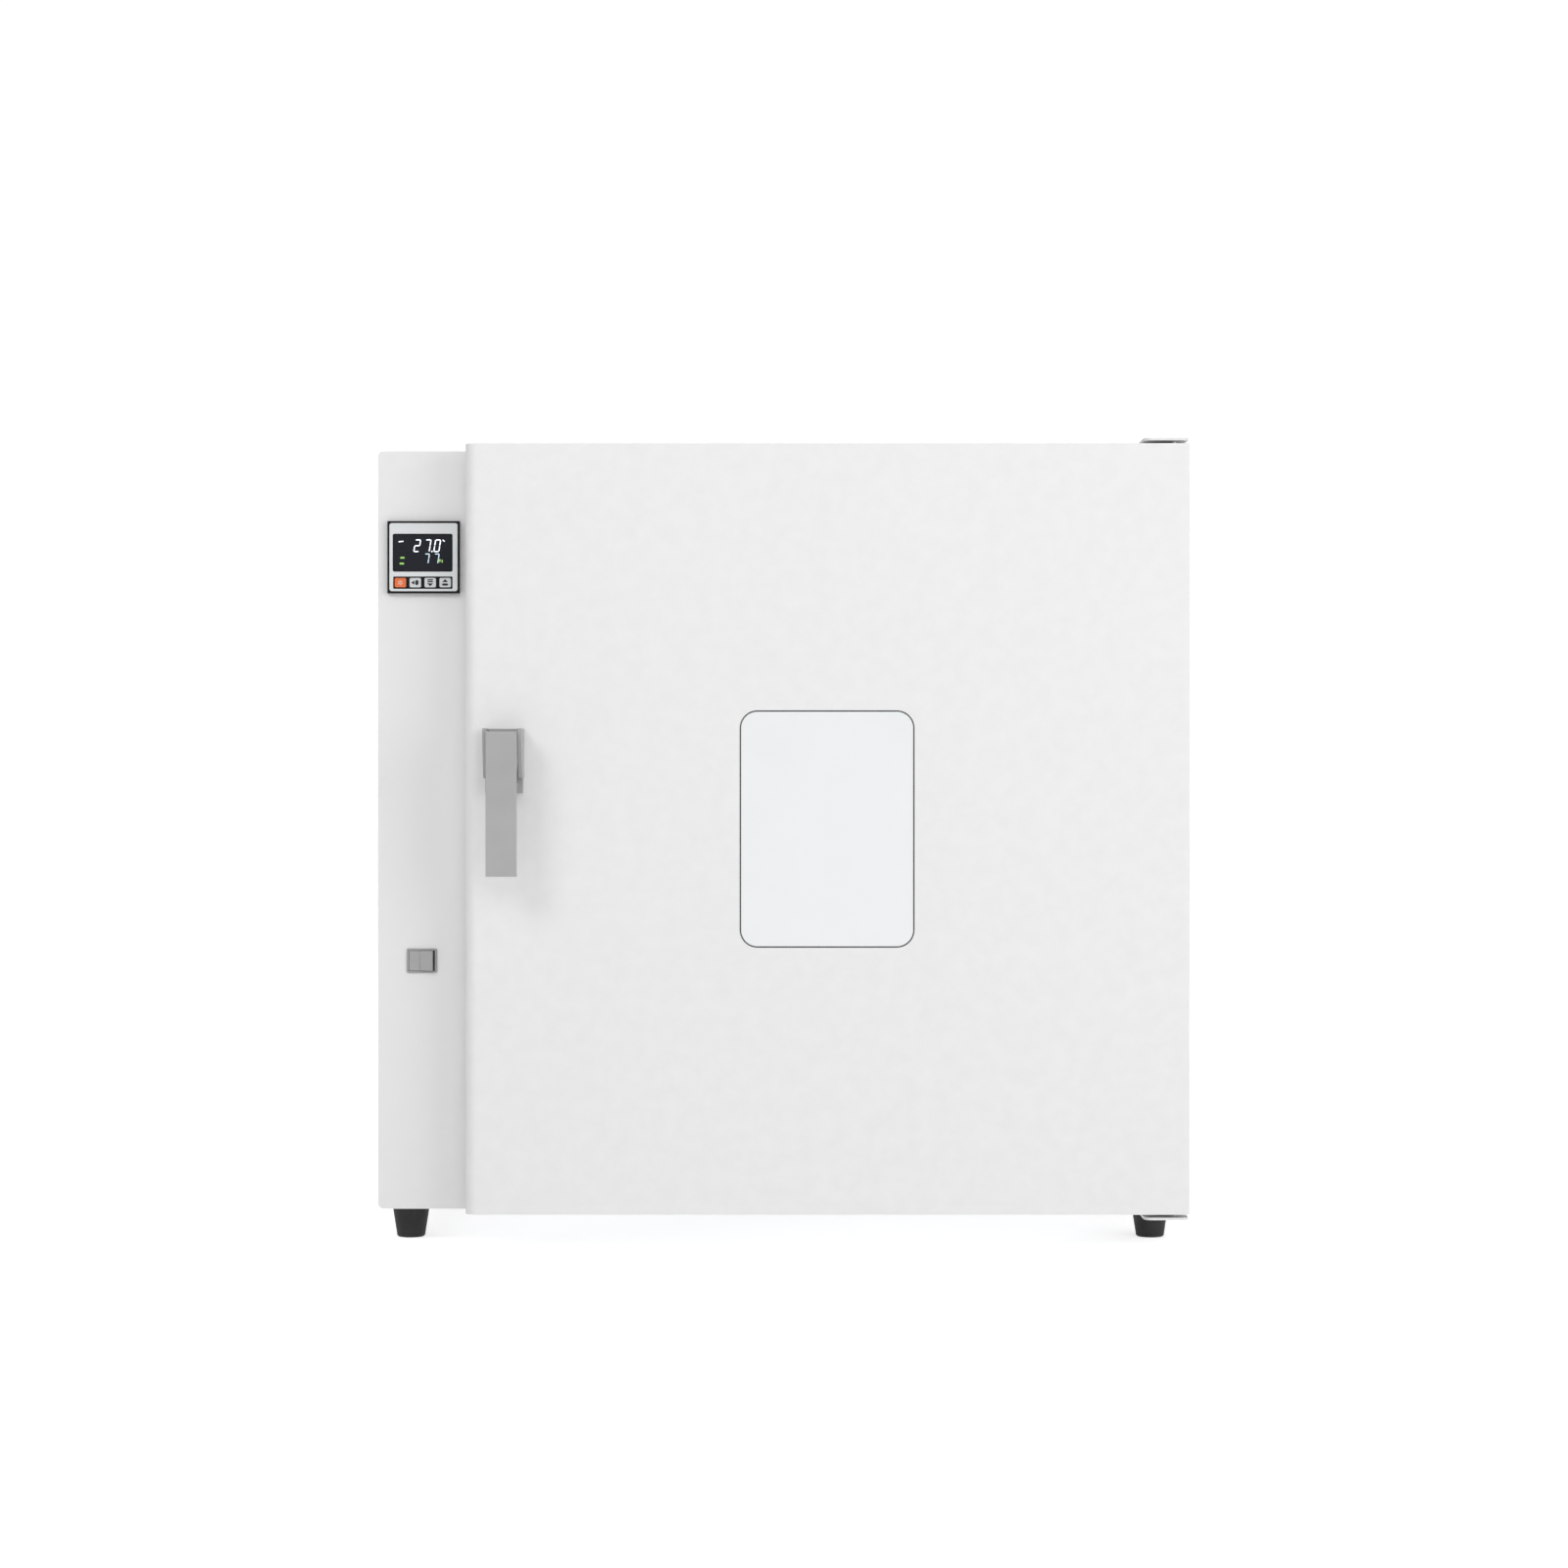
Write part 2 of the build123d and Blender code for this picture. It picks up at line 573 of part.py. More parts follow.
for shelf_name, height in shelf_heights.items():
    with BuildPart() as shelf:
        rim_x = door_x + shelf_half_width
        with BuildLine():
            FilletPolyline(
                (door_x, shelf_front_y + shelf_bar_radius, height),
                (rim_x, shelf_front_y + shelf_bar_radius, height),
                (rim_x, shelf_back_y - shelf_bar_radius, height),
                (door_x, shelf_back_y - shelf_bar_radius, height),
                radius=4 * shelf_bar_radius,
            )
        with BuildSketch(Plane.YZ.offset(door_x)):
            with Locations((shelf_front_y + shelf_bar_radius, height)):
                Circle(shelf_bar_radius)
        sweep()
        mirror(about=Plane.YZ.offset(door_x))
        wire_pitch = 2 * shelf_half_width / (shelf_wire_count + 1)
        with BuildSketch(Plane.XZ.offset(-(shelf_front_y + shelf_bar_radius))):
            with Locations((door_x, height + shelf_wire_rise)):
                with GridLocations(wire_pitch, 1, shelf_wire_count, 1):
                    Circle(shelf_wire_radius)
        extrude(amount=-(shelf_depth - 2 * shelf_bar_radius))
        shelf.part.label = shelf_name
    export_step(shelf.part, f"parts/{shelf_name}.step")

# ---------------------------------------------------------------- temperature sensor and vent
with BuildPart() as temperature_sensor:
    with BuildSketch(Plane.YZ.offset(divider_x - 4.0)):
        with Locations((sensor_y, sensor_z)):
            RegularPolygon(sensor_gland_radius - 1.0, 6)
    extrude(amount=4.0)
    with BuildSketch(Plane.YZ.offset(divider_x - 4.0)):
        with Locations((sensor_y, sensor_z)):
            Circle(sensor_radius)
    extrude(amount=chamber_left_x + sensor_reach - divider_x + 4.0)
    fillet(temperature_sensor.edges().sort_by(Axis.X)[-1], 0.8 * sensor_radius)
    with BuildSketch(Plane.YZ.offset(divider_x - 12.0)):
        with Locations((sensor_y, sensor_z)):
            Circle(sensor_radius + 1.5)
    extrude(amount=8.0)
    temperature_sensor.part.label = "temperature_sensor"
export_step(temperature_sensor.part, "parts/temperature_sensor.step")

vent_wall = 1.5
vent_rise = 22.0
vent_flange_radius = 37.0
vent_rim_z = top_z + vent_rise
vent_window_inner = 6.0
vent_window_outer = 20.0
vent_window_width = 12.0
vent_pin_radius = 2.0
damper_gauge = 1.5


def sector_disc(z, outer_radius, bore_radius):
    """A disc on the vent's axis with three open windows, which line up when the vent is open."""
    with BuildSketch(Plane.XY.offset(z)) as disc:
        with Locations((vent_x, vent_y)):
            Circle(outer_radius)
            Circle(bore_radius, mode=Mode.SUBTRACT)
            with PolarLocations((vent_window_inner + vent_window_outer) / 2, 3):
                Rectangle(vent_window_outer - vent_window_inner, vent_window_width,
                          mode=Mode.SUBTRACT)
    return disc.sketch


with BuildPart() as vent_tube:
    with BuildSketch(Plane.XY.offset(chamber_top_z - 1.0)):
        with Locations((vent_x, vent_y)):
            Circle(vent_radius)
            Circle(vent_radius - vent_wall, mode=Mode.SUBTRACT)
    extrude(amount=vent_rim_z - chamber_top_z + 1.0)
    with BuildSketch(Plane.XY.offset(top_z + seat)):
        with Locations((vent_x, vent_y)):
            Circle(vent_flange_radius)
            Circle(vent_radius - vent_wall, mode=Mode.SUBTRACT)
    extrude(amount=vent_wall)
    vent_tube.part.label = "vent_tube"
export_step(vent_tube.part, "parts/vent_tube.step")

damper_z = vent_rim_z + seat
with BuildPart() as vent_grille:
    extrude(sector_disc(vent_rim_z - damper_gauge, vent_radius - vent_wall - seat, vent_pin_radius),
            amount=damper_gauge)
    with BuildSketch(Plane.XY.offset(vent_rim_z - damper_gauge)):
        with Locations((vent_x, vent_y)):
            Circle(vent_pin_radius)
    extrude(amount=damper_gauge + seat + damper_gauge + 1.0)
    vent_grille.part.label = "vent_grille"
export_step(vent_grille.part, "parts/vent_grille.step")

with BuildPart() as vent_damper:
    extrude(sector_disc(damper_z, vent_radius + 2.0, vent_pin_radius + running_fit),
            amount=damper_gauge)
    with BuildSketch(Plane.XY.offset(damper_z)):
        with Locations((vent_x, vent_y - vent_radius - 2.0)):
            Rectangle(10.0, 8.0)
    extrude(amount=damper_gauge)
    with BuildSketch(Plane.XY.offset(damper_z + damper_gauge)):
        with Locations((vent_x, vent_y - vent_radius - 4.5)):
            Rectangle(10.0, damper_gauge)
    extrude(amount=8.0)
    vent_damper.part.label = "vent_damper"
export_step(vent_damper.part, "parts/vent_damper.step")

# ---------------------------------------------------------------- feet and hinge plates
foot_top_radius = 19.5
foot_bottom_radius = 14.0
foot_edge = 1.2
foot_recess_radius = 7.0
foot_recess_depth = 14.0
foot_screw_radius = 3.0
foot_head_radius = 5.5
foot_head_height = 4.0

with BuildPart() as feet:
    for x, y in foot_places:
        with BuildSketch(Plane.XY):
            with Locations((x, y)):
                Circle(foot_bottom_radius)
        with BuildSketch(Plane.XY.offset(foot_height)):
            with Locations((x, y)):
                Circle(foot_top_radius)
        loft()
    chamfer(feet.edges().filter_by(GeomType.CIRCLE).group_by(Axis.Z)[0], foot_edge)
    with BuildSketch(Plane.XY):
        with Locations(*foot_places):
            Circle(foot_recess_radius)
    extrude(amount=foot_recess_depth, mode=Mode.SUBTRACT)
    with BuildSketch(Plane.XY):
        with Locations(*foot_places):
            Circle(foot_bore_radius)
    extrude(amount=foot_height + 1, mode=Mode.SUBTRACT)
    feet.part.label = "feet"
export_step(feet.part, "parts/feet.step")

with BuildPart() as foot_screws:
    with BuildSketch(Plane.XY.offset(foot_recess_depth - foot_head_height)):
        with Locations(*foot_places):
            Circle(foot_head_radius)
    extrude(amount=foot_head_height)
    with BuildSketch(Plane.XY.offset(foot_recess_depth)):
        with Locations(*foot_places):
            Circle(foot_screw_radius)
    extrude(amount=base_z + panel_gauge + 7.0 - foot_recess_depth)
    with BuildSketch(Plane.XY.offset(base_z + panel_gauge)):
        with Locations(*foot_places):
            RegularPolygon(5.8, 6)
    extrude(amount=5.0)
    foot_screws.part.label = "foot_screws"
export_step(foot_screws.part, "parts/foot_screws.step")

pin_radius = 3.0
pin_in_door = 16.0
bush_wall = 1.5
bush_flange_radius = 6.0
bush_flange = 1.2
plate_corner = 8.0
plate_front_y = door_front_y + hinge_plate_setback
plate_top_z = door_top_z + hinge_gap
plate_bottom_z = door_bottom_z - hinge_gap


def hinge_plate_profile(seat_z, outward, leaf_z):
    """The side of a joggled plate: a flange on the cabinet at seat_z, a leaf past the door's edge."""
    leaf_back_y = front_y - 0.5
    with BuildSketch(Plane.YZ.offset(hinge_plate_left_x)) as profile:
        with BuildLine():
            Polyline(
                (plate_front_y, leaf_z), (leaf_back_y, leaf_z), (front_y + 6.0, seat_z),
                (front_y + hinge_flange_length, seat_z),
                (front_y + hinge_flange_length, seat_z + outward * hinge_plate_gauge),
                (front_y + 6.0, seat_z + outward * hinge_plate_gauge),
                (leaf_back_y, leaf_z + outward * hinge_plate_gauge),
                (plate_front_y, leaf_z + outward * hinge_plate_gauge),
                close=True,
            )
        make_face()
    return profile.sketch


for plate_name, seat_z, outward, leaf_z in (
    ("hinge_plate_top", top_z, 1, plate_top_z),
    ("hinge_plate_bottom", bottom_z, -1, plate_bottom_z),
):
    with BuildPart() as plate:
        extrude(hinge_plate_profile(seat_z, outward, leaf_z), amount=hinge_plate_width)
        corners = plate.edges().filter_by(Axis.Z).group_by(Axis.Y)[0]
        fillet(corners, plate_corner)
        with BuildSketch(Plane.XY.offset(leaf_z - 10)):
            with Locations((hinge_x, hinge_y)):
                Circle(pin_radius + running_fit)
            with Locations(*[(x, hinge_screw_y) for x in hinge_screw_xs]):
                Circle(screw_radius + fastener_fit)
        extrude(amount=20, mode=Mode.SUBTRACT)
        plate.part.label = plate_name
    export_step(plate.part, f"parts/{plate_name}.step")

with BuildPart() as hinge_pins:
    for leaf_z, outward, door_edge_z in (
        (plate_top_z, 1, door_top_z), (plate_bottom_z, -1, door_bottom_z),
    ):
        outer_z = leaf_z + outward * hinge_plate_gauge
        with BuildSketch(Plane.XY.offset(outer_z)):
            with Locations((hinge_x, hinge_y)):
                Circle(pin_radius)
        extrude(amount=-outward * (abs(outer_z - door_edge_z) + pin_in_door))
    hinge_pins.part.label = "hinge_pins"
export_step(hinge_pins.part, "parts/hinge_pins.step")

bush_bore_radius = pin_radius + running_fit
bush_length = pin_in_door + 1.0
with BuildPart() as hinge_bushes:
    for door_edge_z, outward in ((door_top_z, 1), (door_bottom_z, -1)):
        with BuildSketch(Plane.XY.offset(door_edge_z)):
            with Locations((hinge_x, hinge_y)):
                Circle(bush_flange_radius)
                Circle(bush_bore_radius, mode=Mode.SUBTRACT)
        extrude(amount=outward * bush_flange)
        with BuildSketch(Plane.XY.offset(door_edge_z)):
            with Locations((hinge_x, hinge_y)):
                Circle(bush_bore_radius + bush_wall)
                Circle(bush_bore_radius, mode=Mode.SUBTRACT)
        extrude(amount=-outward * bush_length)
    hinge_bushes.part.label = "hinge_bushes"
export_step(hinge_bushes.part, "parts/hinge_bushes.step")

# ---------------------------------------------------------------- door shell, liner and window
liner_edge_gap = 0.3
plug_side_gap = 9.0
plug_depth = 10.0
plug_radius = 20.0
window_gap = 1.3
pane_gauge = 4.0
inner_pane_gauge = 4.0
window_frame_wall = 3.0
slot_width = 12.0
slot_top_z = lever_pivot_z - 1.0
slot_bottom_z = lever_pivot_z - 44.0
slot_z = (slot_top_z + slot_bottom_z) / 2
handle_screw_spread = 10.0
handle_screw_places = [(lever_x, lever_pivot_z + 9.0)]
handle_screw_places += [(lever_x + side * handle_screw_spread, lever_pivot_z - 38.0)
                        for side in (-1, 1)]
bush_outer_radius = bush_bore_radius + bush_wall

with BuildPart() as door_outer_skin:
    with BuildSketch(Plane.XZ.offset(-door_front_y)):
        with Locations((door_x, door_z)):
            Rectangle(door_width, door_height)
    extrude(amount=-door_thickness)
    left_edge = door_outer_skin.edges().filter_by(Axis.Z).group_by(Axis.X)[0].sort_by(Axis.Y)[0]
    fillet(left_edge, door_bend_radius)
    offset(amount=-shell_gauge, openings=door_outer_skin.faces().sort_by(Axis.Y)[-1])
    with BuildSketch(Plane.XZ.offset(-door_front_y + 1)):
        with Locations((door_x, door_z)):
            RectangleRounded(window_width, window_height, window_radius)
        with Locations((lever_x, slot_z)):
            Rectangle(slot_width, slot_top_z - slot_bottom_z)
        with Locations(*handle_screw_places):
            Circle(screw_radius + fastener_fit)
    extrude(amount=-shell_gauge - 2, mode=Mode.SUBTRACT)
    with BuildSketch(Plane.XY.offset(door_bottom_z - 1)):
        with Locations((hinge_x, hinge_y)):
            Circle(bush_outer_radius + running_fit)
    extrude(amount=door_height + 2, mode=Mode.SUBTRACT)
    door_outer_skin.part.label = "door_outer_skin"
export_step(door_outer_skin.part, "parts/door_outer_skin.step")

liner_width = door_width - 2 * (shell_gauge + liner_edge_gap)
liner_height = door_height - 2 * (shell_gauge + liner_edge_gap)
plug_width = chamber_width - 2 * plug_side_gap
plug_height = chamber_height - 2 * plug_side_gap
plug_back_y = front_y + plug_depth
sight_width = window_width - 12.0
sight_height = window_height - 12.0

with BuildPart() as door_inner_liner:
    with BuildSketch(Plane.XZ.offset(-(door_back_y - liner_gauge))):
        with Locations((door_x, door_z)):
            Rectangle(liner_width, liner_height)
        with Locations((lever_x, slot_z)):
            RectangleRounded(slot_width, slot_top_z - slot_bottom_z, 3.0, mode=Mode.SUBTRACT)
    extrude(amount=-liner_gauge)
    with BuildSketch(Plane.XZ.offset(-(door_back_y - liner_gauge))):
        with Locations((door_x, door_z)):
            RectangleRounded(plug_width, plug_height, plug_radius)
    extrude(amount=-(plug_back_y - door_back_y + liner_gauge))
    fillet(door_inner_liner.faces().sort_by(Axis.Y)[-1].edges(), 2 * liner_gauge)
    with BuildSketch(Plane.XZ.offset(-(door_back_y - liner_gauge - 1))):
        with Locations((door_x, door_z)):
            RectangleRounded(plug_width - 2 * liner_gauge, plug_height - 2 * liner_gauge,
                             plug_radius - liner_gauge)
    extrude(amount=-(plug_back_y - door_back_y + 1), mode=Mode.SUBTRACT)
    with BuildSketch(Plane.XZ.offset(-(plug_back_y - 8))):
        with Locations((door_x, door_z)):
            RectangleRounded(sight_width, sight_height, window_radius)
    extrude(amount=-20, mode=Mode.SUBTRACT)
    door_inner_liner.part.label = "door_inner_liner"
export_step(door_inner_liner.part, "parts/door_inner_liner.step")

pane_width = window_width - 2 * window_gap
pane_height = window_height - 2 * window_gap
with BuildPart() as window_outer_pane:
    with BuildSketch(Plane.XZ.offset(-door_front_y)):
        with Locations((door_x, door_z)):
            RectangleRounded(pane_width, pane_height, window_radius - window_gap)
    extrude(amount=-pane_gauge)
    chamfer(window_outer_pane.faces().sort_by(Axis.Y)[0].edges(), 0.3)
    window_outer_pane.part.label = "window_outer_pane"
export_step(window_outer_pane.part, "parts/window_outer_pane.step")

inner_pane_back_y = plug_back_y - liner_gauge - seat
inner_pane_front_y = inner_pane_back_y - inner_pane_gauge
with BuildPart() as window_inner_pane:
    with BuildSketch(Plane.XZ.offset(-inner_pane_front_y)):
        with Locations((door_x, door_z)):
            RectangleRounded(window_width, window_height, window_radius)
    extrude(amount=-inner_pane_gauge)
    window_inner_pane.part.label = "window_inner_pane"
export_step(window_inner_pane.part, "parts/window_inner_pane.step")

# The frame holds the outer pane against the skin's edge and carries the sight tunnel back
frame_outer_width = window_width + 2 * window_frame_wall
frame_outer_height = window_height + 2 * window_frame_wall
frame_front_y = door_front_y + shell_gauge
frame_back_y = inner_pane_front_y - seat
pane_seat_y = door_front_y + pane_gauge
with BuildPart() as window_frame:
    with BuildSketch(Plane.XZ.offset(-frame_front_y)):
        with Locations((door_x, door_z)):
            RectangleRounded(frame_outer_width, frame_outer_height, window_radius + window_frame_wall)
            RectangleRounded(sight_width, sight_height, window_radius, mode=Mode.SUBTRACT)
    extrude(amount=-(frame_back_y - frame_front_y))
    with BuildSketch(Plane.XZ.offset(-frame_front_y + 1)):
        with Locations((door_x, door_z)):
            RectangleRounded(pane_width + 0.4, pane_height + 0.4, window_radius - window_gap + 0.2)
    extrude(amount=-(pane_seat_y - frame_front_y + 1), mode=Mode.SUBTRACT)
    window_frame.part.label = "window_frame"
export_step(window_frame.part, "parts/window_frame.step")

hinge_block_width = 20.0
hinge_block_depth = 30.0
hinge_block_length = 20.0
with BuildPart() as door_hinge_blocks:
    for edge_z, outward in ((door_top_z, 1), (door_bottom_z, -1)):
        with BuildSketch(Plane.XY.offset(edge_z - outward * shell_gauge)):
            with Locations((hinge_x, hinge_y)):
                Rectangle(hinge_block_width, hinge_block_depth)
                Circle(bush_outer_radius + running_fit, mode=Mode.SUBTRACT)
        extrude(amount=-outward * hinge_block_length)
    door_hinge_blocks.part.label = "door_hinge_blocks"
export_step(door_hinge_blocks.part, "parts/door_hinge_blocks.step")

wool_door_front_y = door_front_y + shell_gauge + seat
wool_door_back_y = door_back_y - liner_gauge - seat
with BuildPart() as door_insulation:
    with BuildSketch(Plane.XZ.offset(-wool_door_front_y)):
        with Locations((door_x, door_z)):
            RectangleRounded(door_width - 2 * door_bend_radius - 2, door_height - 6, 4.0)
            RectangleRounded(frame_outer_width + 2 * seat, frame_outer_height + 2 * seat,
                             window_radius + window_frame_wall + seat, mode=Mode.SUBTRACT)
        with Locations((lever_x, slot_z)):
            Rectangle(slot_width + 12, slot_top_z - slot_bottom_z + 30, mode=Mode.SUBTRACT)
        for edge_z in (door_top_z, door_bottom_z):
            with Locations((hinge_x, edge_z)):
                Rectangle(hinge_block_width + 2, 2 * (shell_gauge + hinge_block_length + 1),
                          mode=Mode.SUBTRACT)
    extrude(amount=-(wool_door_back_y - wool_door_front_y))
    with BuildSketch(Plane.XZ.offset(-wool_door_back_y)):
        with Locations((door_x, door_z)):
            RectangleRounded(plug_width - 2 * (liner_gauge + seat),
                             plug_height - 2 * (liner_gauge + seat), plug_radius - liner_gauge - seat)
            RectangleRounded(frame_outer_width + 2 * seat, frame_outer_height + 2 * seat,
                             window_radius + window_frame_wall + seat, mode=Mode.SUBTRACT)
    extrude(amount=-(plug_back_y - liner_gauge - seat - wool_door_back_y))
    door_insulation.part.label = "door_insulation"
export_step(door_insulation.part, "parts/door_insulation.step")

gasket_width = 13.0
gasket_offset = 6.0
gasket_front_y = door_back_y
gasket_back_y = front_y - seat
with BuildPart() as door_gasket:
    gasket_inner_width = chamber_width + 2 * gasket_offset
    gasket_inner_height = chamber_height + 2 * gasket_offset
    with BuildSketch(Plane.XZ.offset(-gasket_front_y)):
        with Locations((door_x, door_z)):
            RectangleRounded(gasket_inner_width + 2 * gasket_width,
                             gasket_inner_height + 2 * gasket_width, 18.0)
            RectangleRounded(gasket_inner_width, gasket_inner_height, 8.0, mode=Mode.SUBTRACT)
    extrude(amount=-(gasket_back_y - gasket_front_y))
    fillet(door_gasket.faces().sort_by(Axis.Y)[-1].edges(), 2.0)
    door_gasket.part.label = "door_gasket"
export_step(door_gasket.part, "parts/door_gasket.step")

# ---------------------------------------------------------------- handle, lever and claw
housing_width = 38.0
cheek_gauge = 3.7
housing_top_z = lever_pivot_z + 17.1
cheek_bottom_z = lever_pivot_z - 31.7
block_bottom_z = lever_pivot_z - 46.0
cheek_reach_top = 39.0
cheek_reach_bottom = 27.0
cheek_corner = 9.0
block_depth = 12.0
lever_width = 30.0
lever_gauge = 5.0
lever_top_z = lever_pivot_z + 14.0
lever_bottom_z = lever_pivot_z - 127.0
lever_hub_radius = 11.0
lever_pin_radius = 3.0
claw_gauge = 6.0
claw_ring_radius = 9.5
claw_top_z = lever_pivot_z - 4.0
claw_height = 8.0
barb_rise = 1.5
barb_length = 4.0
roller_radius = 6.0
roller_width = 9.0
roller_clearance = 0.3
roller_y = front_y + 10.0
roller_z = claw_top_z + barb_rise + roller_clearance + roller_radius
claw_tip_y = roller_y + 9.0
roller_pin_radius = 2.0

with BuildPart() as handle_housing:
    with BuildSketch(Plane.YZ.offset(lever_x - housing_width / 2)) as cheek_side:
        with BuildLine():
            Polyline(
                (door_front_y, cheek_bottom_z), (door_front_y, housing_top_z),
                (door_front_y - cheek_reach_top, housing_top_z),
                (door_front_y - cheek_reach_bottom, cheek_bottom_z), close=True,
            )
        make_face()
        fillet(cheek_side.vertices().sort_by(Axis.X)[1], cheek_corner)
    extrude(amount=housing_width)
    with BuildSketch(Plane.XZ.offset(-(door_front_y - block_depth))):
        with Locations((lever_x, housing_top_z + 1)):
            Rectangle(housing_width - 2 * cheek_gauge, 80.0, align=(Align.CENTER, Align.MAX))
    extrude(amount=cheek_reach_top + 2, mode=Mode.SUBTRACT)
    with BuildSketch(Plane.XZ.offset(-door_front_y)):
        with Locations((lever_x, block_bottom_z)):
            Rectangle(housing_width - 1.4, cheek_bottom_z - block_bottom_z + 4,
                      align=(Align.CENTER, Align.MIN))
    extrude(amount=block_depth)
    with BuildSketch(Plane.XZ.offset(-door_front_y - 1)):
        with Locations((lever_x, slot_z)):
            Rectangle(slot_width, slot_top_z - slot_bottom_z)
    extrude(amount=block_depth + 2, mode=Mode.SUBTRACT)
    with BuildSketch(Plane.YZ.offset(lever_x - housing_width)):
        with Locations((lever_pivot_y, lever_pivot_z)):
            Circle(lever_pin_radius + running_fit)
    extrude(amount=2 * housing_width, mode=Mode.SUBTRACT)
    with BuildSketch(Plane.XZ.offset(-door_front_y - 1)):
        with Locations(*handle_screw_places):
            Circle(screw_radius + fastener_fit)
    extrude(amount=block_depth + 2, mode=Mode.SUBTRACT)
    handle_housing.part.label = "handle_housing"
export_step(handle_housing.part, "parts/handle_housing.step")

with BuildPart() as handle_pin:
    with BuildSketch(Plane.YZ.offset(lever_x - housing_width / 2)):
        with Locations((lever_pivot_y, lever_pivot_z)):
            Circle(lever_pin_radius)
    extrude(amount=housing_width)
    handle_pin.part.label = "handle_pin"
export_step(handle_pin.part, "parts/handle_pin.step")

with BuildPart() as handle_lever:
    with BuildSketch(Plane.YZ.offset(lever_x - lever_width / 2)):
        with BuildLine():
            Polyline(
                (lever_front_y, lever_bottom_z), (lever_front_y, lever_top_z),
                (lever_front_y + lever_gauge, lever_top_z), (lever_pivot_y, lever_pivot_z + lever_hub_radius),
                (lever_pivot_y, lever_pivot_z - lever_hub_radius),
                (lever_front_y + lever_gauge, lever_pivot_z - 2.6 * lever_hub_radius),
                (lever_front_y + lever_gauge, lever_bottom_z), close=True,
            )
        make_face()
        with Locations((lever_pivot_y, lever_pivot_z)):
            Circle(lever_hub_radius)
    extrude(amount=lever_width)
    fillet(handle_lever.faces().sort_by(Axis.Y)[0].edges(), 0.6)
    with BuildSketch(Plane.YZ.offset(lever_x - lever_width)):
        with Locations((lever_pivot_y, lever_pivot_z)):
            Circle(lever_pin_radius + running_fit)
    extrude(amount=2 * lever_width, mode=Mode.SUBTRACT)
    with BuildSketch(Plane.YZ.offset(lever_x - claw_gauge / 2 - seat)):
        with Locations((lever_pivot_y, lever_pivot_z)):
            Circle(claw_ring_radius + seat)
        with Locations((lever_pivot_y, lever_pivot_z)):
            Rectangle(lever_hub_radius + 2, 2 * (claw_ring_radius + seat) + 8, align=(Align.MIN, Align.CENTER))
    extrude(amount=claw_gauge + 2 * seat, mode=Mode.SUBTRACT)
    handle_lever.part.label = "handle_lever"
export_step(handle_lever.part, "parts/handle_lever.step")

with BuildPart() as latch_claw:
    with BuildSketch(Plane.YZ.offset(lever_x - claw_gauge / 2)):
        with Locations((lever_pivot_y, lever_pivot_z)):
            Circle(claw_ring_radius)
        with BuildLine():
            Polyline(
                (lever_pivot_y, claw_top_z), (claw_tip_y - barb_length - 2 * barb_rise, claw_top_z),
                (claw_tip_y - barb_length, claw_top_z + barb_rise), (claw_tip_y, claw_top_z + barb_rise),
                (claw_tip_y, claw_top_z - claw_height + 3), (claw_tip_y - 4, claw_top_z - claw_height),
                (lever_pivot_y, claw_top_z - claw_height), close=True,
            )
        make_face()
        with Locations((lever_pivot_y, lever_pivot_z)):
            Circle(lever_pin_radius + running_fit, mode=Mode.SUBTRACT)
    extrude(amount=claw_gauge)
    latch_claw.part.label = "latch_claw"
export_step(latch_claw.part, "parts/latch_claw.step")

with BuildPart() as handle_screws:
    for x, z in handle_screw_places:
        head_plane = Plane((x, door_front_y - block_depth, z), z_dir=(0, -1, 0))
        add(hexagon_screw(head_plane, screw_radius, block_depth + shell_gauge + 3.0))
    handle_screws.part.label = "handle_screws"
export_step(handle_screws.part, "parts/handle_screws.step")

ear_gap = 1.0
ear_gauge = 2.0
ear_depth = 18.0
ear_height = 26.0
keeper_front_y = shell_front_y
with BuildPart() as keeper_bracket:
    ear_inner = roller_width / 2 + ear_gap + 1.5
    with BuildSketch(Plane.XZ.offset(-keeper_front_y)):
        for side in (-1, 1):
            with Locations((keeper_x + side * ear_inner, keeper_z)):
                Rectangle(keeper_screw_pitch / 2 - ear_inner + 5.0, ear_height,
                          align=(Align.MIN if side > 0 else Align.MAX, Align.CENTER))
            with Locations((keeper_x + side * keeper_screw_pitch / 2, keeper_z)):
                Circle(screw_radius + fastener_fit, mode=Mode.SUBTRACT)
    extrude(amount=-ear_gauge)
    with BuildSketch(Plane.XZ.offset(-keeper_front_y)):
        for side in (-1, 1):
            with Locations((keeper_x + side * ear_inner, keeper_z)):
                Rectangle(ear_gauge, ear_height, align=(Align.MIN if side > 0 else Align.MAX, Align.CENTER))
    extrude(amount=-ear_depth)
    with BuildSketch(Plane.YZ.offset(keeper_x - ear_inner - ear_gauge)):
        with Locations((roller_y, roller_z)):
            Circle(roller_pin_radius)
    extrude(amount=2 * (ear_inner + ear_gauge))
    keeper_bracket.part.label = "keeper_bracket"
export_step(keeper_bracket.part, "parts/keeper_bracket.step")

with BuildPart() as keeper_roller:
    with BuildSketch(Plane.YZ.offset(keeper_x - roller_width / 2 - 1.0)):
        with Locations((roller_y, roller_z)):
            Circle(roller_radius)
            Circle(roller_pin_radius + running_fit, mode=Mode.SUBTRACT)
    extrude(amount=roller_width + 2.0)
    keeper_roller.part.label = "keeper_roller"
export_step(keeper_roller.part, "parts/keeper_roller.step")

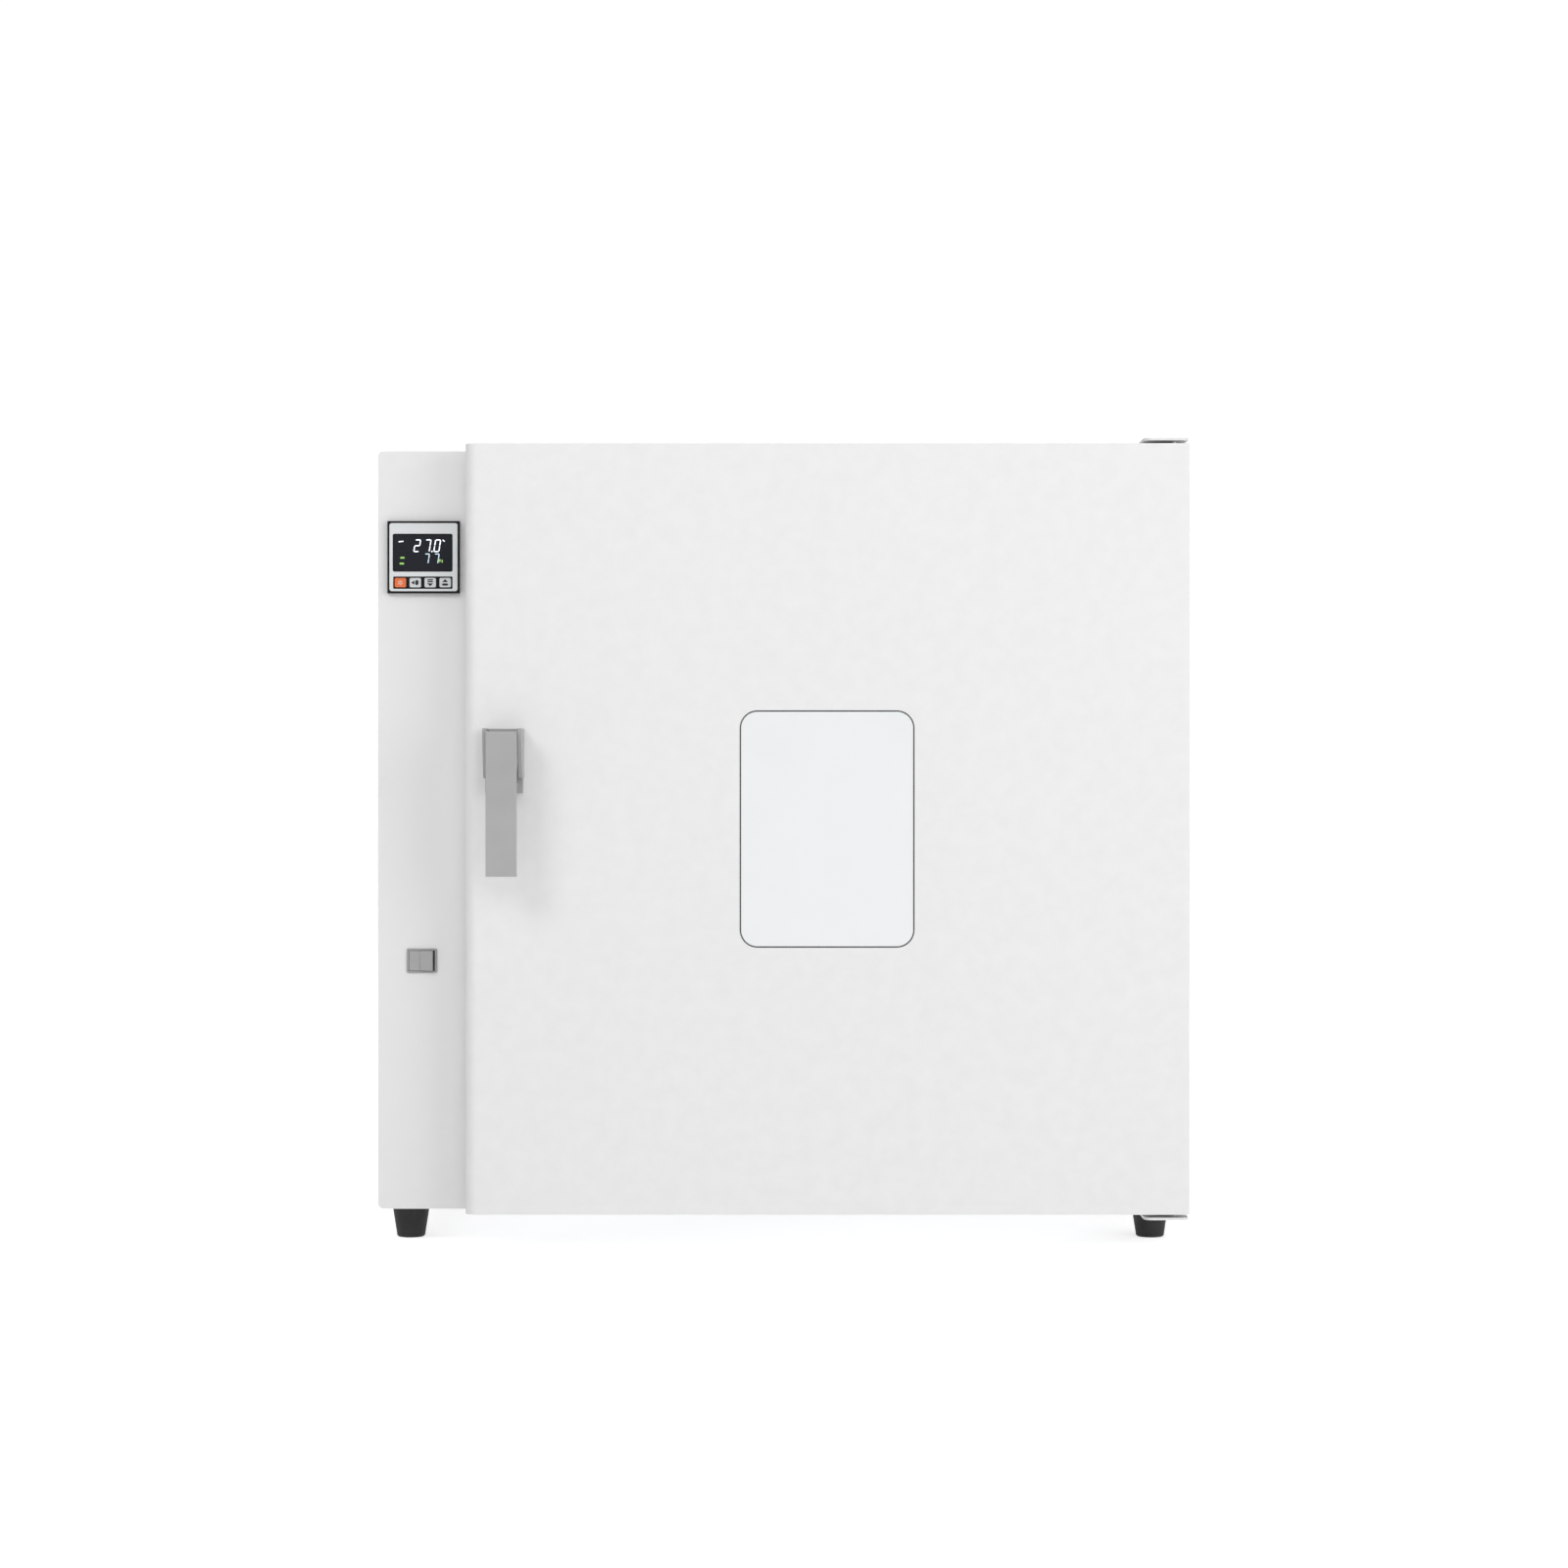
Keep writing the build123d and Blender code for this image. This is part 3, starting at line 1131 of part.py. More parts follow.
# ---------------------------------------------------------------- controller with its four keys
bezel_proud = 6.0
bezel_wall = 1.9
faceplate_gauge = 1.5
faceplate_recess = 0.4
faceplate_radius = 2.5
lens_width = 59.9
lens_height = 38.0
lens_x = controller_x - 0.8
lens_z = controller_z + 4.4
lens_radius = 2.0
key_strip_width = 59.3
key_strip_height = 12.4
key_z = controller_z - 25.5
key_width = 11.4
key_height = 9.4
key_radius = 1.4
key_pitch = 14.9
key_middle_x = controller_x - 0.6
key_proud = 0.9
key_edge = 0.3
key_travel = 0.4
key_stem_radius = 1.8
key_stem_length = 7.0
controller_body_depth = 74.0
controller_face_y = front_y - bezel_proud
faceplate_y = controller_face_y + faceplate_recess
bezel_floor_y = faceplate_y + faceplate_gauge
key_places = [(key_middle_x + (i - 1.5) * key_pitch, key_z) for i in range(4)]

with BuildPart() as controller_bezel:
    with BuildSketch(Plane.XZ.offset(-controller_face_y)):
        with Locations((controller_x, controller_z)):
            Rectangle(controller_size, controller_size)
    extrude(amount=-bezel_proud)
    chamfer(controller_bezel.faces().sort_by(Axis.Y)[0].edges(), 0.5)
    with BuildSketch(Plane.XZ.offset(-controller_face_y)):
        with Locations((controller_x, controller_z)):
            RectangleRounded(controller_size - 2 * bezel_wall, controller_size - 2 * bezel_wall,
                             faceplate_radius)
    extrude(amount=-(bezel_floor_y - controller_face_y), mode=Mode.SUBTRACT)
    with BuildSketch(Plane.XZ.offset(-bezel_floor_y)):
        with Locations((lens_x, lens_z)):
            Rectangle(lens_width - 4, lens_height - 4)
        with Locations(*key_places):
            Circle(key_stem_radius + seat)
    extrude(amount=-bezel_proud, mode=Mode.SUBTRACT)
    controller_bezel.part.label = "controller_bezel"
export_step(controller_bezel.part, "parts/controller_bezel.step")

with BuildPart() as controller_body:
    with BuildSketch(Plane.XZ.offset(-front_y)):
        with Locations((controller_x, controller_z)):
            Rectangle(controller_cutout - 2 * seat, controller_cutout - 2 * seat)
    extrude(amount=-controller_body_depth)
    with BuildSketch(Plane.XZ.offset(-front_y)):
        with Locations((controller_x, controller_z)):
            Rectangle(controller_cutout - 6, controller_cutout - 6)
    extrude(amount=-12.0, mode=Mode.SUBTRACT)
    with BuildSketch(Plane.XZ.offset(-(front_y + controller_body_depth))):
        with Locations((controller_x, controller_z)):
            with GridLocations(10.0, 24.0, 5, 2):
                Rectangle(8.0, 14.0)
    extrude(amount=6.0, mode=Mode.SUBTRACT)
    controller_body.part.label = "controller_body"
export_step(controller_body.part, "parts/controller_body.step")

with BuildPart() as controller_faceplate:
    with BuildSketch(Plane.XZ.offset(-faceplate_y)):
        with Locations((controller_x, controller_z)):
            RectangleRounded(controller_size - 2 * bezel_wall - 0.2, controller_size - 2 * bezel_wall - 0.2,
                             faceplate_radius - 0.1)
        with Locations((lens_x, lens_z)):
            RectangleRounded(lens_width, lens_height, lens_radius, mode=Mode.SUBTRACT)
        with Locations((key_middle_x, key_z)):
            RectangleRounded(key_strip_width, key_strip_height, 0.8, mode=Mode.SUBTRACT)
    extrude(amount=-faceplate_gauge)
    controller_faceplate.part.label = "controller_faceplate"
export_step(controller_faceplate.part, "parts/controller_faceplate.step")

with BuildPart() as controller_lens:
    with BuildSketch(Plane.XZ.offset(-(faceplate_y + 0.2))):
        with Locations((lens_x, lens_z)):
            RectangleRounded(lens_width - 0.2, lens_height - 0.2, lens_radius - 0.1)
    extrude(amount=-(faceplate_gauge - 0.2))
    controller_lens.part.label = "controller_lens"
export_step(controller_lens.part, "parts/controller_lens.step")

for number, (x, z) in enumerate(key_places, start=1):
    with BuildPart() as key:
        with BuildSketch(Plane.XZ.offset(-(faceplate_y - key_proud))):
            with Locations((x, z)):
                RectangleRounded(key_width, key_height, key_radius)
        extrude(amount=-(bezel_floor_y - key_travel - 0.1 - faceplate_y + key_proud))
        chamfer(key.faces().sort_by(Axis.Y)[0].edges(), key_edge)
        with BuildSketch(Plane.XZ.offset(-(bezel_floor_y - key_travel - 0.1))):
            with Locations((x, z)):
                Circle(key_stem_radius)
        extrude(amount=-key_stem_length)
        key.part.label = f"key_{number}"
    export_step(key.part, f"parts/key_{number}.step")

# ---------------------------------------------------------------- power switch
switch_lip = 2.0
switch_radius = 1.5
rocker_width = 26.0
rocker_height = 20.6
rocker_gap = 0.4
rocker_side_gap = 1.7
switch_body_depth = 22.0
rocker_rise = 4.0
rocker_edge_inset = 0.6
rocker_pivot_y = front_y + 2.0
trunnion_radius = 1.5
trunnion_reach = 0.6

with BuildPart() as switch_housing:
    with BuildSketch(Plane.XZ.offset(-(front_y - switch_lip))):
        with Locations((switch_x, switch_z)):
            RectangleRounded(switch_width, switch_height, switch_radius)
    extrude(amount=-switch_lip)
    chamfer(switch_housing.faces().sort_by(Axis.Y)[0].edges(), 0.5)
    with BuildSketch(Plane.XZ.offset(-front_y)):
        with Locations((switch_x, switch_z)):
            Rectangle(switch_cutout_width - 0.2, switch_cutout_height - 0.2)
    extrude(amount=-switch_body_depth)
    with BuildSketch(Plane.XZ.offset(-(front_y - switch_lip))):
        with Locations((switch_x, switch_z)):
            Rectangle(rocker_width, rocker_height)
    extrude(amount=-(switch_body_depth - 4), mode=Mode.SUBTRACT)
    trunnion_span = rocker_height + 2 * trunnion_reach
    with BuildSketch(Plane.XY.offset(switch_z - trunnion_span / 2 - running_fit)):
        with Locations((switch_x, rocker_pivot_y)):
            Circle(trunnion_radius + running_fit)
    extrude(amount=trunnion_span + 2 * running_fit, mode=Mode.SUBTRACT)
    with BuildSketch(Plane.XZ.offset(-(front_y + switch_body_depth))):
        with Locations((switch_x, switch_z)):
            with GridLocations(9.0, 12.0, 2, 2):
                Rectangle(0.8, 6.3)
    extrude(amount=-9.0)
    switch_housing.part.label = "switch_housing"
export_step(switch_housing.part, "parts/switch_housing.step")

rocker_left_x = switch_x - rocker_width / 2 + rocker_gap
rocker_right_x = switch_x + rocker_width / 2 - rocker_side_gap
with BuildPart() as switch_rocker:
    with BuildSketch(Plane.XY.offset(switch_z - rocker_height / 2 + rocker_gap)):
        with BuildLine():
            Polyline(
                (rocker_left_x, front_y - switch_lip),
                (switch_x - 2.0, front_y - switch_lip - 0.2),
                (switch_x - 1.4, front_y - switch_lip - 1.4),
                (rocker_right_x - rocker_edge_inset, front_y - switch_lip - rocker_rise),
                (rocker_right_x, front_y - switch_lip - rocker_rise + 2.0),
                (rocker_right_x, front_y + 1.0),
                (switch_x + 3.0, rocker_pivot_y + 3.0),
                (switch_x - 3.0, rocker_pivot_y + 3.0),
                (rocker_left_x, front_y + 3.0), close=True,
            )
        make_face()
    extrude(amount=rocker_height - 2 * rocker_gap)
    with BuildSketch(Plane.XY.offset(switch_z - trunnion_span / 2)):
        with Locations((switch_x, rocker_pivot_y)):
            Circle(trunnion_radius)
    extrude(amount=trunnion_span)
    switch_rocker.part.label = "switch_rocker"
export_step(switch_rocker.part, "parts/switch_rocker.step")

# ---------------------------------------------------------------- column electrics
tray_x = left_x + 14.0
tray_gauge = 1.5
tray_front_y = front_y + 120.0
tray_depth = cabinet_depth - 290.0
tray_bottom_z = base_z + panel_gauge + seat
tray_height = 420.0
with BuildPart() as electrical_tray:
    with BuildSketch(Plane.XY.offset(tray_bottom_z)):
        with Locations((tray_x, tray_front_y)):
            Rectangle(tray_gauge, tray_depth, align=(Align.MIN, Align.MIN))
            Rectangle(14.0, tray_gauge, align=(Align.MIN, Align.MIN))
    extrude(amount=tray_height)
    with BuildSketch(Plane.XY.offset(tray_bottom_z)):
        with Locations((tray_x, tray_front_y)):
            Rectangle(22.0, tray_depth, align=(Align.MIN, Align.MIN))
    extrude(amount=tray_gauge)
    electrical_tray.part.label = "electrical_tray"
export_step(electrical_tray.part, "parts/electrical_tray.step")

sink_fin_count = 9
sink_width = 80.0
sink_height = 100.0
sink_base = 5.0
sink_depth = 30.0
sink_y = tray_front_y + 90.0
sink_z = tray_bottom_z + 300.0
sink_x = tray_x + tray_gauge
with BuildPart() as relay_heat_sink:
    with BuildSketch(Plane.XY.offset(sink_z - sink_height / 2)):
        with Locations((sink_x, sink_y)):
            Rectangle(sink_base, sink_width, align=(Align.MIN, Align.CENTER))
        with Locations((sink_x, sink_y)):
            with GridLocations(1, (sink_width - 2) / (sink_fin_count - 1), 1, sink_fin_count):
                Rectangle(sink_depth, 2.0, align=(Align.MIN, Align.CENTER))
        with Locations((sink_x + sink_depth, sink_y)):
            Rectangle(3.0, sink_width, align=(Align.MIN, Align.CENTER))
    extrude(amount=sink_height)
    relay_heat_sink.part.label = "relay_heat_sink"
export_step(relay_heat_sink.part, "parts/relay_heat_sink.step")

with BuildPart() as solid_state_relay:
    with BuildSketch(Plane.YZ.offset(sink_x + sink_depth + 3.0)):
        with Locations((sink_y, sink_z)):
            RectangleRounded(45.0, 58.0, 3.0)
    extrude(amount=22.0)
    solid_state_relay.part.label = "solid_state_relay"
export_step(solid_state_relay.part, "parts/solid_state_relay.step")

terminal_count = 8
terminal_pitch = 12.0
with BuildPart() as terminal_block:
    with BuildSketch(Plane.YZ.offset(tray_x + tray_gauge)):
        with Locations((tray_front_y + 90.0, tray_bottom_z + 120.0)):
            Rectangle(terminal_count * terminal_pitch, 30.0)
    extrude(amount=18.0)
    with BuildSketch(Plane.YZ.offset(tray_x + tray_gauge + 18.0)):
        with Locations((tray_front_y + 90.0, tray_bottom_z + 120.0)):
            with GridLocations(terminal_pitch, 1, terminal_count, 1):
                Rectangle(terminal_pitch - 2.5, 24.0)
    extrude(amount=-10.0, mode=Mode.SUBTRACT)
    terminal_block.part.label = "terminal_block"
export_step(terminal_block.part, "parts/terminal_block.step")

# ---------------------------------------------------------------- rear panel, inlet and screws
louvre_length = 90.0
louvre_height = 12.0
louvre_pitch = 24.0
louvre_count = 8
louvre_columns = (door_x - 60.0, door_x + 60.0)
column_louvre_x = left_x + 50.0
column_louvre_length = 56.0
inlet_width = 50.0
inlet_height = 28.0
inlet_x = left_x + 50.0
inlet_z = base_z + 66.0
inlet_flange = 3.0
inlet_body_width = inlet_width - 23.0
inlet_body_height = inlet_height - 5.0
inlet_wall = 2.0
inlet_pin_length = 14.0
inlet_plate_width = 70.0
inlet_plate_height = 90.0
inlet_access_width = 50.0
inlet_access_height = 64.0
inlet_screw_run = 30.0
inlet_screw_rise = 40.0
inlet_plate_y = rear_y + shell_gauge
inlet_face_y = inlet_plate_y + inlet_flange
inlet_screw_places = [(inlet_x + i * inlet_screw_run, inlet_z + k * inlet_screw_rise)
                      for i in (-1, 1) for k in (-1, 1)]
louvre_places = [(x, door_z + (i - (louvre_count - 1) / 2) * louvre_pitch, louvre_length)
                 for x in louvre_columns for i in range(louvre_count)]
louvre_places += [(column_louvre_x, top_z - 120.0 - i * louvre_pitch, column_louvre_length)
                  for i in range(6)]
louvre_places += [(column_louvre_x, base_z + 130.0 + i * louvre_pitch, column_louvre_length)
                  for i in range(5)]

with BuildPart() as rear_panel:
    with BuildSketch(Plane.XZ.offset(-(rear_y - shell_gauge))):
        with Locations((0, middle_z)):
            RectangleRounded(cabinet_width, cabinet_height, bend_radius)
        with Locations(*rear_screw_places, *inlet_screw_places):
            Circle(screw_radius + fastener_fit, mode=Mode.SUBTRACT)
        with Locations((inlet_x, inlet_z)):
            Rectangle(inlet_access_width, inlet_access_height, mode=Mode.SUBTRACT)
    extrude(amount=-shell_gauge)
    for x, z, length in louvre_places:
        with BuildSketch(Plane.YZ.offset(x - length / 2)):
            with BuildLine():
                Polyline((rear_y, z + louvre_height), (rear_y + louvre_depth, z + 2.0),
                         (rear_y + louvre_depth, z), (rear_y, z), close=True)
            make_face()
        extrude(amount=length)
    for x, z, length in louvre_places:
        with BuildSketch(Plane.YZ.offset(x - length / 2 + shell_gauge)):
            with BuildLine():
                Polyline((rear_y - 2 * shell_gauge, z + louvre_height - 2 * shell_gauge),
                         (rear_y, z + louvre_height - 2 * shell_gauge),
                         (rear_y + louvre_depth - shell_gauge, z + 1.4),
                         (rear_y + louvre_depth - shell_gauge, z - 0.5),
                         (rear_y, z - 0.5), (rear_y, z + 1.0),
                         (rear_y - 2 * shell_gauge, z + 1.0), close=True)
            make_face()
        extrude(amount=length - 2 * shell_gauge, mode=Mode.SUBTRACT)
    rear_panel.part.label = "rear_panel"
export_step(rear_panel.part, "parts/rear_panel.step")

with BuildPart() as inlet_plate:
    with BuildSketch(Plane.XZ.offset(-rear_y)):
        with Locations((inlet_x, inlet_z)):
            RectangleRounded(inlet_plate_width, inlet_plate_height, screw_radius)
            Rectangle(inlet_body_width + 2 * seat, inlet_body_height + 2 * seat, mode=Mode.SUBTRACT)
        with Locations(*inlet_screw_places):
            Circle(screw_radius + fastener_fit, mode=Mode.SUBTRACT)
    extrude(amount=-shell_gauge)
    inlet_plate.part.label = "inlet_plate"
export_step(inlet_plate.part, "parts/inlet_plate.step")

with BuildPart() as power_inlet:
    with BuildSketch(Plane.XZ.offset(-inlet_face_y)):
        with Locations((inlet_x, inlet_z)):
            RectangleRounded(inlet_width, inlet_height, inlet_flange)
    extrude(amount=inlet_flange)
    with BuildSketch(Plane.XZ.offset(-inlet_face_y)):
        with Locations((inlet_x, inlet_z)):
            Rectangle(inlet_body_width, inlet_body_height)
    extrude(amount=28.0)
    with BuildSketch(Plane.XZ.offset(-inlet_face_y)):
        with Locations((inlet_x, inlet_z)):
            Rectangle(inlet_body_width - 2 * inlet_wall, inlet_body_height - 2 * inlet_wall)
    extrude(amount=18.0, mode=Mode.SUBTRACT)
    with BuildSketch(Plane.XZ.offset(-(inlet_face_y - 19.0))):
        for dx, dz in ((0, 4.0), (-7.0, -2.5), (7.0, -2.5)):
            with Locations((inlet_x + dx, inlet_z + dz)):
                Rectangle(2.0, 6.0)
    extrude(amount=-inlet_pin_length)
    power_inlet.part.label = "power_inlet"
export_step(power_inlet.part, "parts/power_inlet.step")

with BuildPart() as cabinet_screws:
    for x, z in rear_screw_places:
        add(hexagon_screw(Plane((x, rear_y, z), z_dir=(0, 1, 0)), screw_radius, screw_length))
    for x, z in frame_screw_places:
        add(hexagon_screw(Plane((x, front_y, z), z_dir=(0, -1, 0)), screw_radius, screw_length))
    for x, z in inlet_screw_places:
        add(hexagon_screw(Plane((x, inlet_plate_y, z), z_dir=(0, 1, 0)), screw_radius, screw_length))
    for x in hinge_screw_xs:
        top_head = Plane((x, hinge_screw_y, top_z + hinge_plate_gauge))
        bottom_head = Plane((x, hinge_screw_y, bottom_z - hinge_plate_gauge), z_dir=(0, 0, -1))
        add(hexagon_screw(top_head, screw_radius, screw_length))
        add(hexagon_screw(bottom_head, screw_radius, screw_length))
    cabinet_screws.part.label = "cabinet_screws"
export_step(cabinet_screws.part, "parts/cabinet_screws.step")
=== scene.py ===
"""Finishes, display figures, floor, lamps and camera for the drying oven.

Metres, in the same frame as the CAD model: +X right, +Y to the back, +Z up.
"""
import json
import math

import bmesh
import bpy
from mathutils import Matrix, Vector


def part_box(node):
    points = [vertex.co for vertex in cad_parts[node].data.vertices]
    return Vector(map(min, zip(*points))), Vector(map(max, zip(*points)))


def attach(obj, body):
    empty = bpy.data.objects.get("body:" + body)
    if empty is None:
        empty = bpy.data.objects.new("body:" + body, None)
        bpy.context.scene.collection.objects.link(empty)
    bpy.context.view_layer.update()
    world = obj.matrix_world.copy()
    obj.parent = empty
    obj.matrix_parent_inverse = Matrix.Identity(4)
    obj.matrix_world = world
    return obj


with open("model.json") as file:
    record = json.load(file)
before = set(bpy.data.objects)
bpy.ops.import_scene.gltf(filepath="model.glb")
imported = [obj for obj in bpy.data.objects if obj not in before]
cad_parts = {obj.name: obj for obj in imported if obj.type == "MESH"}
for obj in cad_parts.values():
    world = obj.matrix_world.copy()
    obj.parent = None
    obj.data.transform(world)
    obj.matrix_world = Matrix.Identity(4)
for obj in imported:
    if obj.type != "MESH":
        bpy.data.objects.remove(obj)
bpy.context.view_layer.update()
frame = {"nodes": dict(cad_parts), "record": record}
nodes_by_name = frame["nodes"]

MM = 0.001

# ---------------------------------------------------------------- places read from the frame
front_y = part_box("column_front_panel")[0][1]
lens_low, lens_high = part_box("controller_lens")
lens_x = 0.5 * (lens_low[0] + lens_high[0])
lens_z = 0.5 * (lens_low[2] + lens_high[2])


# ---------------------------------------------------------------- shared shader groups
SURFACE_OUTPUTS = [
    ("Color", "NodeSocketColor"), ("Roughness", "NodeSocketFloat"), ("Height", "NodeSocketFloat"),
]


def new_group(name, inputs, outputs):
    """An empty shader group with its sockets; returns the group, its input and its output node."""
    group = bpy.data.node_groups.new(name, "ShaderNodeTree")
    for label, kind, value in inputs:
        socket = group.interface.new_socket(label, in_out="INPUT", socket_type=kind)
        socket.default_value = value
    for label, kind in outputs:
        group.interface.new_socket(label, in_out="OUTPUT", socket_type=kind)
    return group, group.nodes.new("NodeGroupInput"), group.nodes.new("NodeGroupOutput")


def add_noise(group, coordinates, scale, detail, roughness=0.5):
    """A noise texture in a group; its scale is a number or a socket."""
    noise = group.nodes.new("ShaderNodeTexNoise")
    noise.inputs["Detail"].default_value = detail
    noise.inputs["Roughness"].default_value = roughness
    group.links.new(coordinates, noise.inputs["Vector"])
    if isinstance(scale, (int, float)):
        noise.inputs["Scale"].default_value = scale
    else:
        group.links.new(scale, noise.inputs["Scale"])
    return noise.outputs["Fac"]


def add_range(group, value, low, high, to_low=0.0, to_high=1.0):
    """Maps a value from one range to another, clamped."""
    node = group.nodes.new("ShaderNodeMapRange")
    group.links.new(value, node.inputs["Value"])
    limits = (("From Min", low), ("From Max", high), ("To Min", to_low), ("To Max", to_high))
    for label, number in limits:
        if isinstance(number, (int, float)):
            node.inputs[label].default_value = number
        else:
            group.links.new(number, node.inputs[label])
    return node.outputs["Result"]


# The colour sockets of a Mix node, which share their labels with its number and vector sockets
MIX_FIRST, MIX_SECOND, MIX_RESULT = 6, 7, 2


def add_mix(group, factor, first, second):
    """Mixes two colours by a mask."""
    node = group.nodes.new("ShaderNodeMix")
    node.data_type = "RGBA"
    group.links.new(factor, node.inputs["Factor"])
    group.links.new(first, node.inputs[MIX_FIRST])
    group.links.new(second, node.inputs[MIX_SECOND])
    return node.outputs[MIX_RESULT]


def add_math(group, operation, first, second):
    """One arithmetic step on two sockets or numbers."""
    node = group.nodes.new("ShaderNodeMath")
    node.operation = operation
    for index, value in enumerate((first, second)):
        if isinstance(value, (int, float)):
            node.inputs[index].default_value = value
        else:
            group.links.new(value, node.inputs[index])
    return node.outputs["Value"]


def object_coordinates(group, stretch=(1.0, 1.0, 1.0)):
    """Object coordinates in metres, stretched along the axes."""
    source = group.nodes.new("ShaderNodeTexCoord")
    mapping = group.nodes.new("ShaderNodeMapping")
    mapping.inputs["Scale"].default_value = stretch
    group.links.new(source.outputs["Object"], mapping.inputs["Vector"])
    return mapping.outputs["Vector"]


def add_spread(group, middle, below, above):
    """Two sockets: one a little below and one a little above a value."""
    return add_math(group, "SUBTRACT", middle, below), add_math(group, "ADD", middle, above)


def build_edge_mask():
    """Painted highlight on edges: 1 on convex edges, broken up by noise."""
    group, inside, out = new_group(
        "edge_highlight_mask",
        [("Amount", "NodeSocketFloat", 0.5), ("Scale", "NodeSocketFloat", 60.0)],
        [("Mask", "NodeSocketFloat")],
    )
    geometry = group.nodes.new("ShaderNodeNewGeometry")
    sharp = add_range(group, geometry.outputs["Pointiness"], low=0.52, high=0.60)
    broken = add_noise(
        group, object_coordinates(group), scale=inside.outputs["Scale"], detail=5.0, roughness=0.6
    )
    broken = add_range(group, broken, low=0.35, high=0.65)
    mask = add_math(group, "MULTIPLY", sharp, broken)
    mask = add_math(group, "MULTIPLY", mask, inside.outputs["Amount"])
    group.links.new(mask, out.inputs["Mask"])
    return group


def build_powder_coat():
    """Powder coat: a shallow orange peel, faint clouds of tone and a painted highlight that makes edges
    slightly paler.
    """
    group, inside, out = new_group(
        "powder_coat",
        [
            ("Base", "NodeSocketColor", (0.86, 0.86, 0.86, 1)),
            ("Cloud", "NodeSocketColor", (0.84, 0.84, 0.84, 1)),
            ("Edge Highlight", "NodeSocketColor", (0.9, 0.9, 0.9, 1)),
            ("Peel Scale", "NodeSocketFloat", 900.0),
            ("Roughness", "NodeSocketFloat", 0.4),
        ],
        SURFACE_OUTPUTS,
    )
    coordinates = object_coordinates(group)
    cloud = add_range(group, add_noise(group, coordinates, scale=2.2, detail=1.5), low=0.3, high=0.7)
    color = add_mix(group, cloud, inside.outputs["Base"], inside.outputs["Cloud"])
    # painted highlight: convex edges are mixed towards a paler colour
    edge = group.nodes.new("ShaderNodeGroup")
    edge.node_tree = edge_highlight_mask
    edge.inputs["Amount"].default_value = 0.6
    color = add_mix(group, edge.outputs["Mask"], color, inside.outputs["Edge Highlight"])
    peel = add_noise(group, coordinates, scale=inside.outputs["Peel Scale"], detail=1.5)
    smudge = add_noise(group, coordinates, scale=9.0, detail=4.0)
    smooth, rough = add_spread(group, inside.outputs["Roughness"], below=0.02, above=0.02)
    group.links.new(color, out.inputs["Color"])
    group.links.new(
        add_range(group, smudge, low=0.3, high=0.7, to_low=smooth, to_high=rough),
        out.inputs["Roughness"],
    )
    group.links.new(peel, out.inputs["Height"])
    return group


def build_moulded_plastic():
    """Moulded plastic or rubber: a fine spark-eroded grain and a little tone from handling."""
    group, inside, out = new_group(
        "moulded_plastic",
        [
            ("Base", "NodeSocketColor", (0.4, 0.4, 0.4, 1)),
            ("Handled", "NodeSocketColor", (0.38, 0.38, 0.38, 1)),
            ("Grain Scale", "NodeSocketFloat", 2500.0),
            ("Roughness", "NodeSocketFloat", 0.45),
        ],
        SURFACE_OUTPUTS,
    )
    coordinates = object_coordinates(group)
    handled = add_noise(group, coordinates, scale=22.0, detail=4.0)
    handled = add_range(group, handled, low=0.4, high=0.7)
    grain = add_noise(group, coordinates, scale=inside.outputs["Grain Scale"], detail=2.0)
    smooth, rough = add_spread(group, inside.outputs["Roughness"], below=0.06, above=0.06)
    group.links.new(
        add_mix(group, handled, inside.outputs["Base"], inside.outputs["Handled"]),
        out.inputs["Color"],
    )
    group.links.new(
        add_range(group, handled, low=0.0, high=1.0, to_low=rough, to_high=smooth),
        out.inputs["Roughness"],
    )
    group.links.new(grain, out.inputs["Height"])
    return group


def build_brushed_metal(name, stretch):
    """Metal with fine lines along one axis: tone, roughness and height all follow the lines."""
    group, inside, out = new_group(
        name,
        [
            ("Base", "NodeSocketColor", (0.72, 0.72, 0.71, 1)),
            ("Line", "NodeSocketColor", (0.6, 0.6, 0.6, 1)),
            ("Roughness", "NodeSocketFloat", 0.32),
        ],
        SURFACE_OUTPUTS,
    )
    lines = add_noise(
        group, object_coordinates(group, stretch), scale=1.0, detail=4.0, roughness=0.65
    )
    patch = add_noise(group, object_coordinates(group), scale=5.0, detail=3.0)
    tone = add_range(group, lines, low=0.3, high=0.7)
    smooth, rough = add_spread(group, inside.outputs["Roughness"], below=0.08, above=0.1)
    both = add_math(group, "MULTIPLY", tone, patch)
    group.links.new(
        add_mix(group, tone, inside.outputs["Base"], inside.outputs["Line"]), out.inputs["Color"]
    )
    group.links.new(
        add_range(group, both, low=0.0, high=0.7, to_low=smooth, to_high=rough),
        out.inputs["Roughness"],
    )
    group.links.new(lines, out.inputs["Height"])
    return group


def build_fibre():
    """Mineral wool: tangled fibres with painted shade in the gaps between them."""
    group, inside, out = new_group(
        "fibre",
        [
            ("Base", "NodeSocketColor", (0.78, 0.74, 0.62, 1)),
            ("Gap Shade", "NodeSocketColor", (0.5, 0.46, 0.36, 1)),
            ("Scale", "NodeSocketFloat", 300.0),
        ],
        [("Color", "NodeSocketColor"), ("Height", "NodeSocketFloat")],
    )
    coordinates = object_coordinates(group, (1.0, 1.0, 4.0))
    strands = add_noise(
        group, coordinates, scale=inside.outputs["Scale"], detail=8.0, roughness=0.75
    )
    mask = add_range(group, strands, low=0.4, high=0.6)
    # painted shade: the gaps between fibres get the darker colour
    group.links.new(
        add_mix(group, mask, inside.outputs["Gap Shade"], inside.outputs["Base"]), out.inputs["Color"]
    )
    group.links.new(strands, out.inputs["Height"])
    return group


